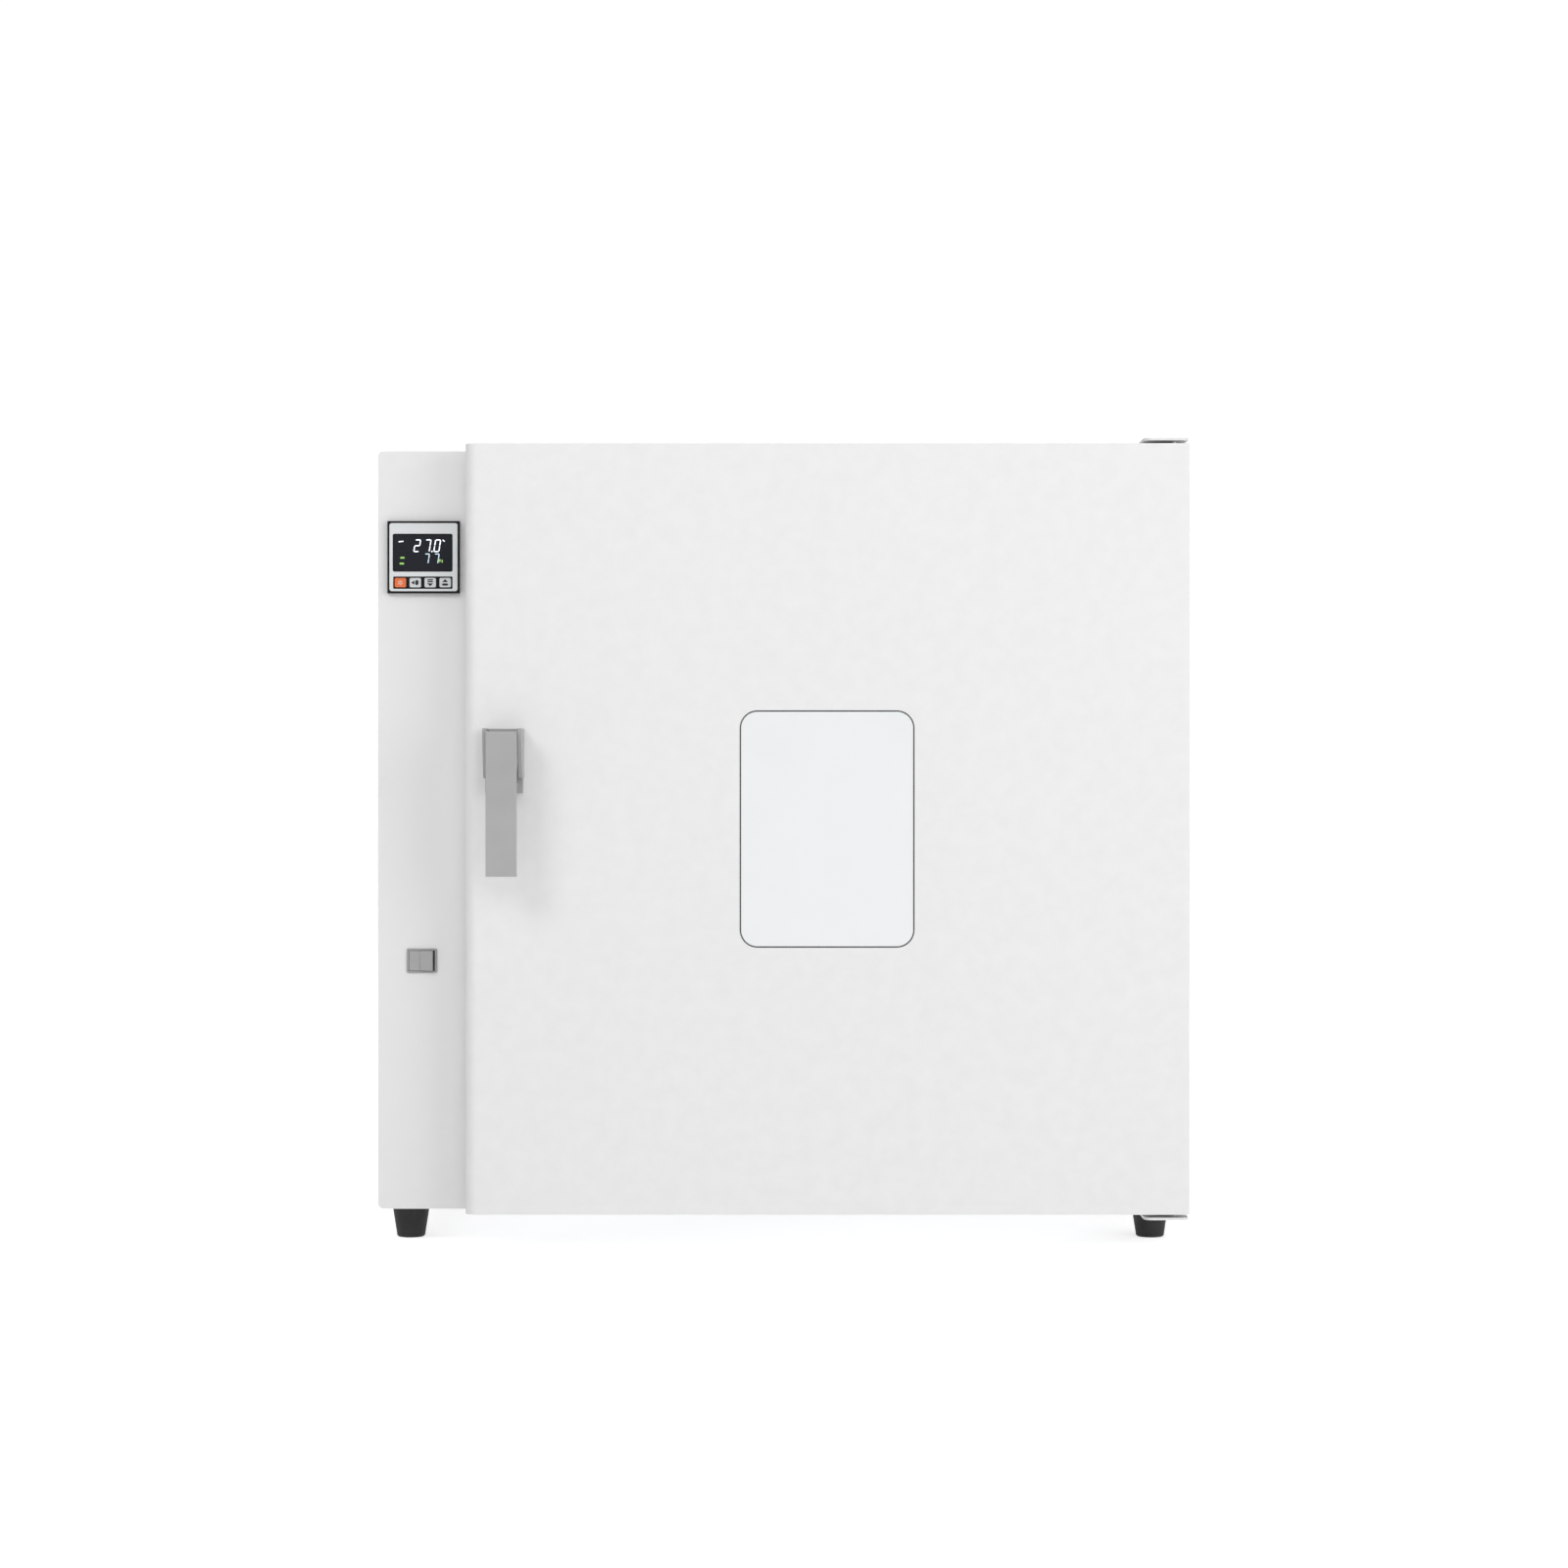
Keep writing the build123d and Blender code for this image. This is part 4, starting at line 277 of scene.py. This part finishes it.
edge_highlight_mask = build_edge_mask()
powder_coat = build_powder_coat()
moulded_plastic = build_moulded_plastic()
brushed_across = build_brushed_metal("brushed_across", (12.0, 900.0, 900.0))
turned_metal = build_brushed_metal("turned_metal", (700.0, 700.0, 700.0))
fibre = build_fibre()


# ---------------------------------------------------------------- materials
def rgba(color):
    """A colour with full alpha; one number stands for a neutral grey."""
    if isinstance(color, (int, float)):
        color = (color, color, color)
    return (*color, 1.0)


def make_material(name, group, values, bump, distance, settings):
    """A Principled material whose colour, roughness and bump come from a shared group."""
    material = bpy.data.materials.new(name)
    material.use_nodes = True
    nodes, links = material.node_tree.nodes, material.node_tree.links
    shader = nodes["Principled BSDF"]
    node = nodes.new("ShaderNodeGroup")
    node.node_tree = group
    for label, value in values.items():
        socket = node.inputs[label]
        socket.default_value = rgba(value) if socket.type == "RGBA" else value
    links.new(node.outputs["Color"], shader.inputs["Base Color"])
    if "Roughness" in node.outputs:
        links.new(node.outputs["Roughness"], shader.inputs["Roughness"])
    relief = nodes.new("ShaderNodeBump")
    relief.inputs["Strength"].default_value = bump
    relief.inputs["Distance"].default_value = distance
    links.new(node.outputs["Height"], relief.inputs["Height"])
    links.new(relief.outputs["Normal"], shader.inputs["Normal"])
    for label, value in settings.items():
        shader.inputs[label].default_value = value
    return material


CLOUD_SHADE = 0.992  # tone of the powder coat's clouds, as a share of its own tone
# painted highlight on edges: how much paler the edges are than the paint's tone
EDGE_HIGHLIGHT = 1.04
LINE_SHADE = 0.82  # tone of the lines in bare metal
WIPED_SHADE = 0.99


def paint(name, tone, roughness=0.38):
    """Powder-coated sheet steel of one tone."""
    return make_material(
        name, powder_coat,
        {"Base": tone, "Cloud": tone * CLOUD_SHADE, "Edge Highlight": min(1.0, tone * EDGE_HIGHLIGHT),
         "Peel Scale": 900.0, "Roughness": roughness},
        bump=0.12, distance=0.08 * MM, settings={"Specular IOR Level": 0.4},
    )


def plastic(name, color, roughness=0.45, grain=2500.0, bump=0.15, shade=0.94, sheen=0.5):
    """A moulded plastic or rubber of one colour; a low sheen keeps black parts black."""
    base = rgba(color)[:3]
    handled = tuple(channel * shade for channel in base)
    return make_material(
        name, moulded_plastic,
        {"Base": base, "Handled": handled, "Grain Scale": grain, "Roughness": roughness},
        bump, distance=0.06 * MM, settings={"Specular IOR Level": sheen},
    )


def metal(name, color, group, roughness):
    """Bare metal with its working marks."""
    line = tuple(channel * LINE_SHADE for channel in color)
    return make_material(
        name, group, {"Base": color, "Line": line, "Roughness": roughness},
        bump=0.1, distance=0.05 * MM, settings={"Metallic": 1.0},
    )


def glass(name, tint, transmission, roughness):
    """Toughened glass with faint wipe marks in its gloss."""
    wiped = tuple(channel * WIPED_SHADE for channel in tint)
    return make_material(
        name, moulded_plastic,
        {"Base": tint, "Handled": wiped, "Grain Scale": 40.0, "Roughness": roughness},
        bump=0.02, distance=0.02 * MM, settings={"Transmission Weight": transmission, "IOR": 1.5},
    )


finishes = {
    "white_paint": paint("white_powder_coat", 0.86),
    "hinge_paint": paint("hinge_powder_coat", 0.86, 0.35),
    "galvanised_sheet": metal("galvanised_sheet", (0.62, 0.63, 0.64), brushed_across, 0.42),
    "stainless_sheet": metal("brushed_stainless", (0.72, 0.72, 0.71), brushed_across, 0.34),
    "stainless_wire": metal("polished_wire", (0.75, 0.75, 0.75), turned_metal, 0.18),
    "turned_steel": metal("turned_steel", (0.66, 0.66, 0.66), turned_metal, 0.28),
    "zinc_screws": metal("zinc_plate", (0.70, 0.70, 0.68), turned_metal, 0.3),
    "heater_sheath": metal("heat_darkened_sheath", (0.30, 0.28, 0.26), turned_metal, 0.5),
    "heat_sink_aluminium": metal("extruded_aluminium", (0.60, 0.61, 0.62), brushed_across, 0.38),
    "motor_casting": paint("motor_enamel", 0.05, 0.5),
    "mineral_wool": make_material(
        "mineral_wool", fibre, {"Base": (0.78, 0.74, 0.62), "Gap Shade": (0.5, 0.46, 0.36)},
        bump=0.8, distance=2.0 * MM, settings={"Roughness": 0.95},
    ),
    "foot_rubber": plastic("foot_rubber", 0.022, 0.6, grain=1800.0, bump=0.25, sheen=0.4),
    "white_nylon": plastic("white_nylon", (0.85, 0.85, 0.83), 0.4),
    "black_seal": plastic("black_seal", 0.02, 0.6),
    "silicone_gasket": plastic("silicone_gasket", (0.5, 0.5, 0.49), 0.55, grain=1200.0, bump=0.3),
    "grey_handle": plastic("handle_moulding", 0.43, 0.42),
    "grey_lever": plastic("lever_moulding", 0.43, 0.4),
    "black_plastic": plastic("black_moulding", 0.009, 0.42, sheen=0.15),
    "faceplate_plastic": plastic(
        "faceplate_film", (0.76, 0.78, 0.79), 0.35, grain=3500.0, bump=0.05, shade=0.98
    ),
    "display_lens": plastic(
        "display_lens", (0.014, 0.015, 0.021), 0.12, grain=60.0, bump=0.01, sheen=0.3
    ),
    "orange_key": plastic("orange_key", (0.80, 0.17, 0.05), 0.5),
    "grey_key": plastic("grey_key", (0.66, 0.68, 0.70), 0.5),
    "grey_switch": plastic("switch_moulding", 0.37, 0.42),
    "grey_rocker": plastic("rocker_moulding", 0.41, 0.38),
    "terminal_plastic": plastic("terminal_moulding", (0.70, 0.70, 0.66), 0.5),
    "window_glass": glass("backed_glass", (0.90, 0.92, 0.93), transmission=0.0, roughness=0.12),
    "clear_glass": glass("clear_glass", (0.95, 0.98, 0.97), transmission=1.0, roughness=0.05),
}

slot_of_node = {row["node"]: row["material_slot"] for row in frame["record"]["subparts"]}
for node_name, node_object in nodes_by_name.items():
    for material_slot in node_object.material_slots:
        material_slot.material = finishes[slot_of_node[node_name]]


# ---------------------------------------------------------------- modelling helpers
def piece_from_bmesh(name, mesh_data, material, body):
    """Makes a named piece at the origin from a bmesh and lets it ride on a body."""
    bmesh.ops.recalc_face_normals(mesh_data, faces=mesh_data.faces)
    mesh = bpy.data.meshes.new(name)
    mesh_data.to_mesh(mesh)
    mesh_data.free()
    piece = bpy.data.objects.new(name, mesh)
    piece.data.materials.append(material)
    bpy.context.scene.collection.objects.link(piece)
    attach(piece, body)
    return piece


def add_bar(mesh_data, center, size, turn=0.0, point=0.0):
    """A thin bar facing the front, turned about Y; point pulls its corners in to a tip."""
    made = bmesh.ops.create_cube(mesh_data, size=1.0)["verts"]
    bmesh.ops.scale(mesh_data, vec=size, verts=made)
    if point:
        upright = [
            edge for edge in dict.fromkeys(edge for vert in made for edge in vert.link_edges)
            if abs(edge.verts[0].co.y - edge.verts[1].co.y) > 0.5 * size[1]  # runs front to back
        ]
        bevelled = bmesh.ops.bevel(
            mesh_data, geom=upright, offset=point, segments=1, profile=0.5, affect="EDGES", material=-1
        )
        made = list(dict.fromkeys([*bevelled["verts"], *(vert for vert in made if vert.is_valid)]))
    bmesh.ops.rotate(mesh_data, verts=made, cent=(0, 0, 0), matrix=Matrix.Rotation(turn, 3, "Y"))
    bmesh.ops.translate(mesh_data, verts=made, vec=center)
    return made


# Segments of a figure: middle across and up, in widths and heights, and whether the bar is upright
SEGMENTS = {
    "top": (0.0, 0.5, False), "middle": (0.0, 0.0, False), "bottom": (0.0, -0.5, False),
    "upper_left": (-0.5, 0.25, True), "upper_right": (0.5, 0.25, True),
    "lower_left": (-0.5, -0.25, True), "lower_right": (0.5, -0.25, True),
}
FIGURES = {
    "0": ("top", "bottom", "upper_left", "upper_right", "lower_left", "lower_right"),
    "2": ("top", "upper_right", "middle", "lower_left", "bottom"),
    "7": ("top", "upper_right", "lower_right"),
}
FIGURE_DEPTH = 0.06 * MM
FIGURE_LEAN = math.radians(9)
SEGMENT_GAP = 0.25  # space at a segment's ends, in strokes
SEGMENT_POINT = 0.42  # how far a segment's corners are pulled in, in strokes
figure_y = lens_low[1] - 0.5 * FIGURE_DEPTH


def add_figure(mesh_data, figure, middle, width, height, stroke):
    """A seven-segment figure, leaning to the right."""
    made = []
    for segment in FIGURES[figure]:
        across, up, upright = SEGMENTS[segment]
        length = (0.5 * height if upright else width) - SEGMENT_GAP * stroke
        size = (stroke, FIGURE_DEPTH, length) if upright else (length, FIGURE_DEPTH, stroke)
        place = (across * width, 0.0, up * height)
        made += add_bar(mesh_data, place, size, point=SEGMENT_POINT * stroke)
    made = [vert for vert in dict.fromkeys(made) if vert.is_valid]
    for vert in made:
        vert.co.x += math.tan(FIGURE_LEAN) * vert.co.z
    bmesh.ops.translate(mesh_data, verts=made, vec=(middle[0], figure_y, middle[1]))


def add_figure_row(mesh_data, row, up, size):
    """Figures on the lens; row holds each figure and its place across, in millimetres."""
    width, height, stroke = (value * MM for value in size)
    for figure, across in row:
        place = (lens_x + across * MM, lens_z + up * MM)
        add_figure(mesh_data, figure, place, width, height, stroke)


def add_lens_bar(mesh_data, across, up, width, height, turn=0.0, point=0.0):
    """A bar on the lens, in millimetres from the lens's middle; turn is in degrees."""
    add_bar(
        mesh_data, (lens_x + across * MM, figure_y, lens_z + up * MM),
        (width * MM, FIGURE_DEPTH, height * MM), math.radians(turn), point * MM,
    )


def glowing(name, color, strength):
    """A lit segment: its glow varies a little from place to place."""
    material = plastic(name, color, 0.4)
    nodes, links = material.node_tree.nodes, material.node_tree.links
    shader = nodes["Principled BSDF"]
    group_node = next(node for node in nodes if node.type == "GROUP")
    links.new(group_node.outputs["Color"], shader.inputs["Emission Color"])
    shader.inputs["Emission Strength"].default_value = strength
    return material


# ---------------------------------------------------------------- display
# Figures of each row: figure and place across. Sizes are width, height and stroke. All in millimetres.
MEASURED_ROW = (("2", -5.4), ("7", 5.0), ("0", 14.6))
MEASURED_UP = 7.0
MEASURED_SIZE = (5.0, 11.6, 1.15)
SET_ROW = (("7", 3.9), ("7", 13.6))
SET_UP = -5.9
SET_SIZE = (4.4, 9.4, 0.95)

# Bars on the lens: across, up, width and height in millimetres, and turn in degrees
WHITE_BARS = {
    "decimal_point": (9.3, 1.3, 1.3, 1.3, 0.0),
    "degree_mark": (21.0, 12.0, 2.6, 1.0, 38.0),
    "dash": (-21.6, 11.2, 4.8, 1.1, -6.0),
}
GREEN_BARS = (
    (-20.2, -5.0, 4.4, 1.8), (-20.8, -10.8, 4.6, 1.8), (17.2, -7.8, 1.4, 3.2), (19.5, -8.4, 1.2, 3.2),
)
GREEN_POINT = 0.5

measured = bmesh.new()
for bar in WHITE_BARS.values():
    add_lens_bar(measured, *bar)
add_figure_row(measured, MEASURED_ROW, MEASURED_UP, MEASURED_SIZE)
piece_from_bmesh(
    "display_measured", measured, glowing("white_segment", (0.86, 0.92, 1.0), 0.7), "cabinet"
)

set_value = bmesh.new()
add_figure_row(set_value, SET_ROW, SET_UP, SET_SIZE)
piece_from_bmesh(
    "display_set", set_value, glowing("pale_segment", (0.58, 0.74, 0.82), 0.5), "cabinet"
)

marks = bmesh.new()
for bar in GREEN_BARS:
    add_lens_bar(marks, *bar, point=GREEN_POINT)
piece_from_bmesh(
    "display_marks", marks, glowing("green_segment", (0.28, 0.56, 0.12), 0.35), "cabinet"
)

BORDER_WIDTH = 1.0 * MM
BORDER_CORNER = 2.0 * MM
BORDER_STEPS = 6
ORDER_WEIGHTS = Vector((1.0, 31.0, 977.0))  # puts the border's corners and faces in one fixed order
TO_FRONT = Matrix.Rotation(math.radians(90), 3, "X")  # stands a flat shape up, facing the front


def build_lens_border():
    """A black ring with round corners round the lens."""
    border = bmesh.new()
    corners = bmesh.ops.create_grid(border, x_segments=1, y_segments=1, size=0.5)["verts"]
    bmesh.ops.rotate(border, verts=corners, cent=(0, 0, 0), matrix=TO_FRONT)
    lens_size = (lens_high[0] - lens_low[0], 1.0, lens_high[2] - lens_low[2])
    bmesh.ops.scale(border, verts=corners, vec=lens_size)
    bmesh.ops.bevel(
        border, geom=corners, offset=BORDER_CORNER, segments=BORDER_STEPS, profile=0.5,
        affect="VERTICES", material=-1,
    )
    pane = border.faces[:]
    bmesh.ops.inset_region(
        border, faces=pane, thickness=BORDER_WIDTH, use_even_offset=True, use_boundary=True
    )
    bmesh.ops.delete(border, geom=pane, context="FACES")
    raised = bmesh.ops.extrude_face_region(border, geom=border.faces[:])["geom"]
    raised_verts = [item for item in raised if isinstance(item, bmesh.types.BMVert)]
    bmesh.ops.translate(border, verts=raised_verts, vec=(0, -FIGURE_DEPTH, 0))
    bmesh.ops.translate(border, verts=border.verts, vec=(lens_x, lens_low[1], lens_z))
    border.verts.sort(key=lambda vert: vert.co.dot(ORDER_WEIGHTS))
    border.faces.sort(key=lambda face: face.calc_center_median().dot(ORDER_WEIGHTS))
    piece_from_bmesh("lens_border", border, finishes["black_plastic"], "cabinet")


build_lens_border()


# ---------------------------------------------------------------- keys
TRIANGLE_WIDTH = 1.732  # width and height of an upright triangle in a circle of radius 1
TRIANGLE_HEIGHT = 1.5


def add_key_arrow(mesh_data, place, across, up, width, height, turn):
    """A triangle on a key, its tip up before it is turned; millimetres and degrees."""
    made = bmesh.ops.create_cone(
        mesh_data, cap_ends=True, segments=3, radius1=1.0, radius2=1.0, depth=FIGURE_DEPTH
    )["verts"]
    bmesh.ops.rotate(mesh_data, verts=made, cent=(0, 0, 0), matrix=TO_FRONT)
    size = (width * MM / TRIANGLE_WIDTH, 1.0, height * MM / TRIANGLE_HEIGHT)
    bmesh.ops.scale(mesh_data, vec=size, verts=made)
    turned = Matrix.Rotation(math.radians(turn), 3, "Y")
    bmesh.ops.rotate(mesh_data, verts=made, cent=(0, 0, 0), matrix=turned)
    x, y, z = place
    bmesh.ops.translate(mesh_data, verts=made, vec=(x + across * MM, y, z + up * MM))


def add_key_bar(mesh_data, place, across, up, width, height, turn=0.0, point=0.0):
    """A bar on a key; millimetres and degrees."""
    x, y, z = place
    add_bar(
        mesh_data, (x + across * MM, y, z + up * MM), (width * MM, FIGURE_DEPTH, height * MM),
        math.radians(turn), point * MM,
    )


def add_burst(mesh_data, place):
    """Three crossing bars."""
    for turn in (20, 80, 140):
        add_key_bar(mesh_data, place, 0.0, 0.0, 5.2, 0.8, turn=turn)


def add_sideways_mark(mesh_data, place):
    """An arrowhead to the left and a block."""
    add_key_arrow(mesh_data, place, -2.0, 0.0, 4.4, 3.2, turn=-90)
    add_key_bar(mesh_data, place, 1.6, 0.0, 3.4, 5.2, point=1.2)


def add_down_mark(mesh_data, place):
    """An arrowhead down under two bars."""
    add_key_arrow(mesh_data, place, 0.0, -1.7, 5.8, 3.0, turn=180)
    for up in (0.9, 2.7):
        add_key_bar(mesh_data, place, 0.0, up, 5.4, 1.3)


def add_up_mark(mesh_data, place):
    """An arrowhead up over a block."""
    add_key_arrow(mesh_data, place, 0.0, 1.5, 5.8, 3.0, turn=0)
    add_key_bar(mesh_data, place, 0.0, -1.9, 6.0, 2.2, point=0.7)


ink = plastic("key_ink", 0.008, 0.5)
pale_ink = plastic("pale_key_ink", (0.95, 0.62, 0.45), 0.5)
KEY_MARKS = (
    (1, add_burst, pale_ink), (2, add_sideways_mark, ink), (3, add_down_mark, ink), (4, add_up_mark, ink),
)
for number, add_mark, mark_ink in KEY_MARKS:
    key_low, key_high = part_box(f"key_{number}")
    key_middle = [0.5 * (low + high) for low, high in zip(key_low, key_high)]
    icon = bmesh.new()
    add_mark(icon, (key_middle[0], key_low[1] - 0.5 * FIGURE_DEPTH, key_middle[2]))
    piece_from_bmesh(f"key_{number}_icon", icon, mark_ink, f"key_{number}")


# ---------------------------------------------------------------- floor, sky, lamps and camera
FLOOR_SIZE = 30.0
FLOOR_TONE = 0.92
FLOOR_LIFT = 0.62  # glow of the floor where the camera or a gloss sees it, so that it ends in white
SKY_LIGHT = 0.43  # strength of the sky as a light
SKY_SEEN = 1.05  # strength of the sky where it is seen


def ray_mask(tree, first, second):
    """1 where a ray is of the first or the second kind."""
    path = tree.nodes.new("ShaderNodeLightPath")
    return add_math(tree, "MAXIMUM", path.outputs[first], path.outputs[second])


def build_floor():
    """A white floor that keeps the oven's shadow."""
    floor_mesh = bmesh.new()
    bmesh.ops.create_grid(floor_mesh, x_segments=1, y_segments=1, size=FLOOR_SIZE)
    floor_data = bpy.data.meshes.new("floor")
    floor_mesh.to_mesh(floor_data)
    floor_mesh.free()
    floor = bpy.data.objects.new("floor", floor_data)
    bpy.context.scene.collection.objects.link(floor)

    floor_paint = bpy.data.materials.new("floor_paint")
    floor_paint.use_nodes = True
    tree = floor_paint.node_tree
    shader = tree.nodes["Principled BSDF"]
    shader.inputs["Base Color"].default_value = rgba(FLOOR_TONE)
    shader.inputs["Roughness"].default_value = 0.9
    shader.inputs["Specular IOR Level"].default_value = 0.1
    shader.inputs["Emission Color"].default_value = rgba(1.0)
    lift = add_math(tree, "MULTIPLY", ray_mask(tree, "Is Camera Ray", "Is Glossy Ray"), FLOOR_LIFT)
    tree.links.new(lift, shader.inputs["Emission Strength"])
    floor_data.materials.append(floor_paint)


def build_sky():
    """A white sky, dimmer as a light than as it is seen."""
    world = bpy.data.worlds.new("studio")
    bpy.context.scene.world = world
    world.use_nodes = True
    tree = world.node_tree
    background = tree.nodes["Background"]
    background.inputs["Color"].default_value = rgba(1.0)
    seen = ray_mask(tree, "Is Camera Ray", "Is Transmission Ray")
    strength = add_range(tree, seen, low=0.0, high=1.0, to_low=SKY_LIGHT, to_high=SKY_SEEN)
    tree.links.new(strength, background.inputs["Strength"])


LAMP_TARGET = Vector((0.0, 0.0, 0.42))


def add_lamp(name, place, size, power):
    """A soft rectangular lamp that faces the oven's middle."""
    data = bpy.data.lights.new(name, "AREA")
    data.shape = "RECTANGLE"
    data.size, data.size_y = size
    data.energy = power
    lamp = bpy.data.objects.new(name, data)
    lamp.location = place
    lamp.rotation_euler = (LAMP_TARGET - Vector(place)).to_track_quat("-Z", "Y").to_euler()
    bpy.context.scene.collection.objects.link(lamp)


CAMERA_DISTANCE = 3.300
CAMERA_HEIGHT = 0.460
CAMERA_X = 0.0035
FOCAL_LENGTH = 75.76
SENSOR_WIDTH = 36.0
CLIP_END = 100.0


def build_camera():
    """A level camera in front of the door."""
    camera_data = bpy.data.cameras.new("camera")
    camera_data.lens = FOCAL_LENGTH
    camera_data.sensor_width = SENSOR_WIDTH
    camera_data.clip_end = CLIP_END
    camera = bpy.data.objects.new("camera", camera_data)
    camera.location = (CAMERA_X, front_y - CAMERA_DISTANCE, CAMERA_HEIGHT)
    camera.rotation_euler = (math.radians(90), 0.0, 0.0)
    bpy.context.scene.collection.objects.link(camera)
    bpy.context.scene.camera = camera


build_floor()
build_sky()
add_lamp("key_lamp", place=(-2.2, -3.2, 3.0), size=(1.6, 1.6), power=38.0)
add_lamp("side_lamp", place=(2.8, -2.9, 0.7), size=(2.4, 3.0), power=56.0)
add_lamp("front_lamp", place=(0.2, -4.0, 2.4), size=(2.4, 1.4), power=22.0)
add_lamp("back_lamp", place=(0.5, 3.5, 3.0), size=(3.0, 2.0), power=30.0)
build_camera()
bpy.context.scene.view_settings.view_transform = "Standard"
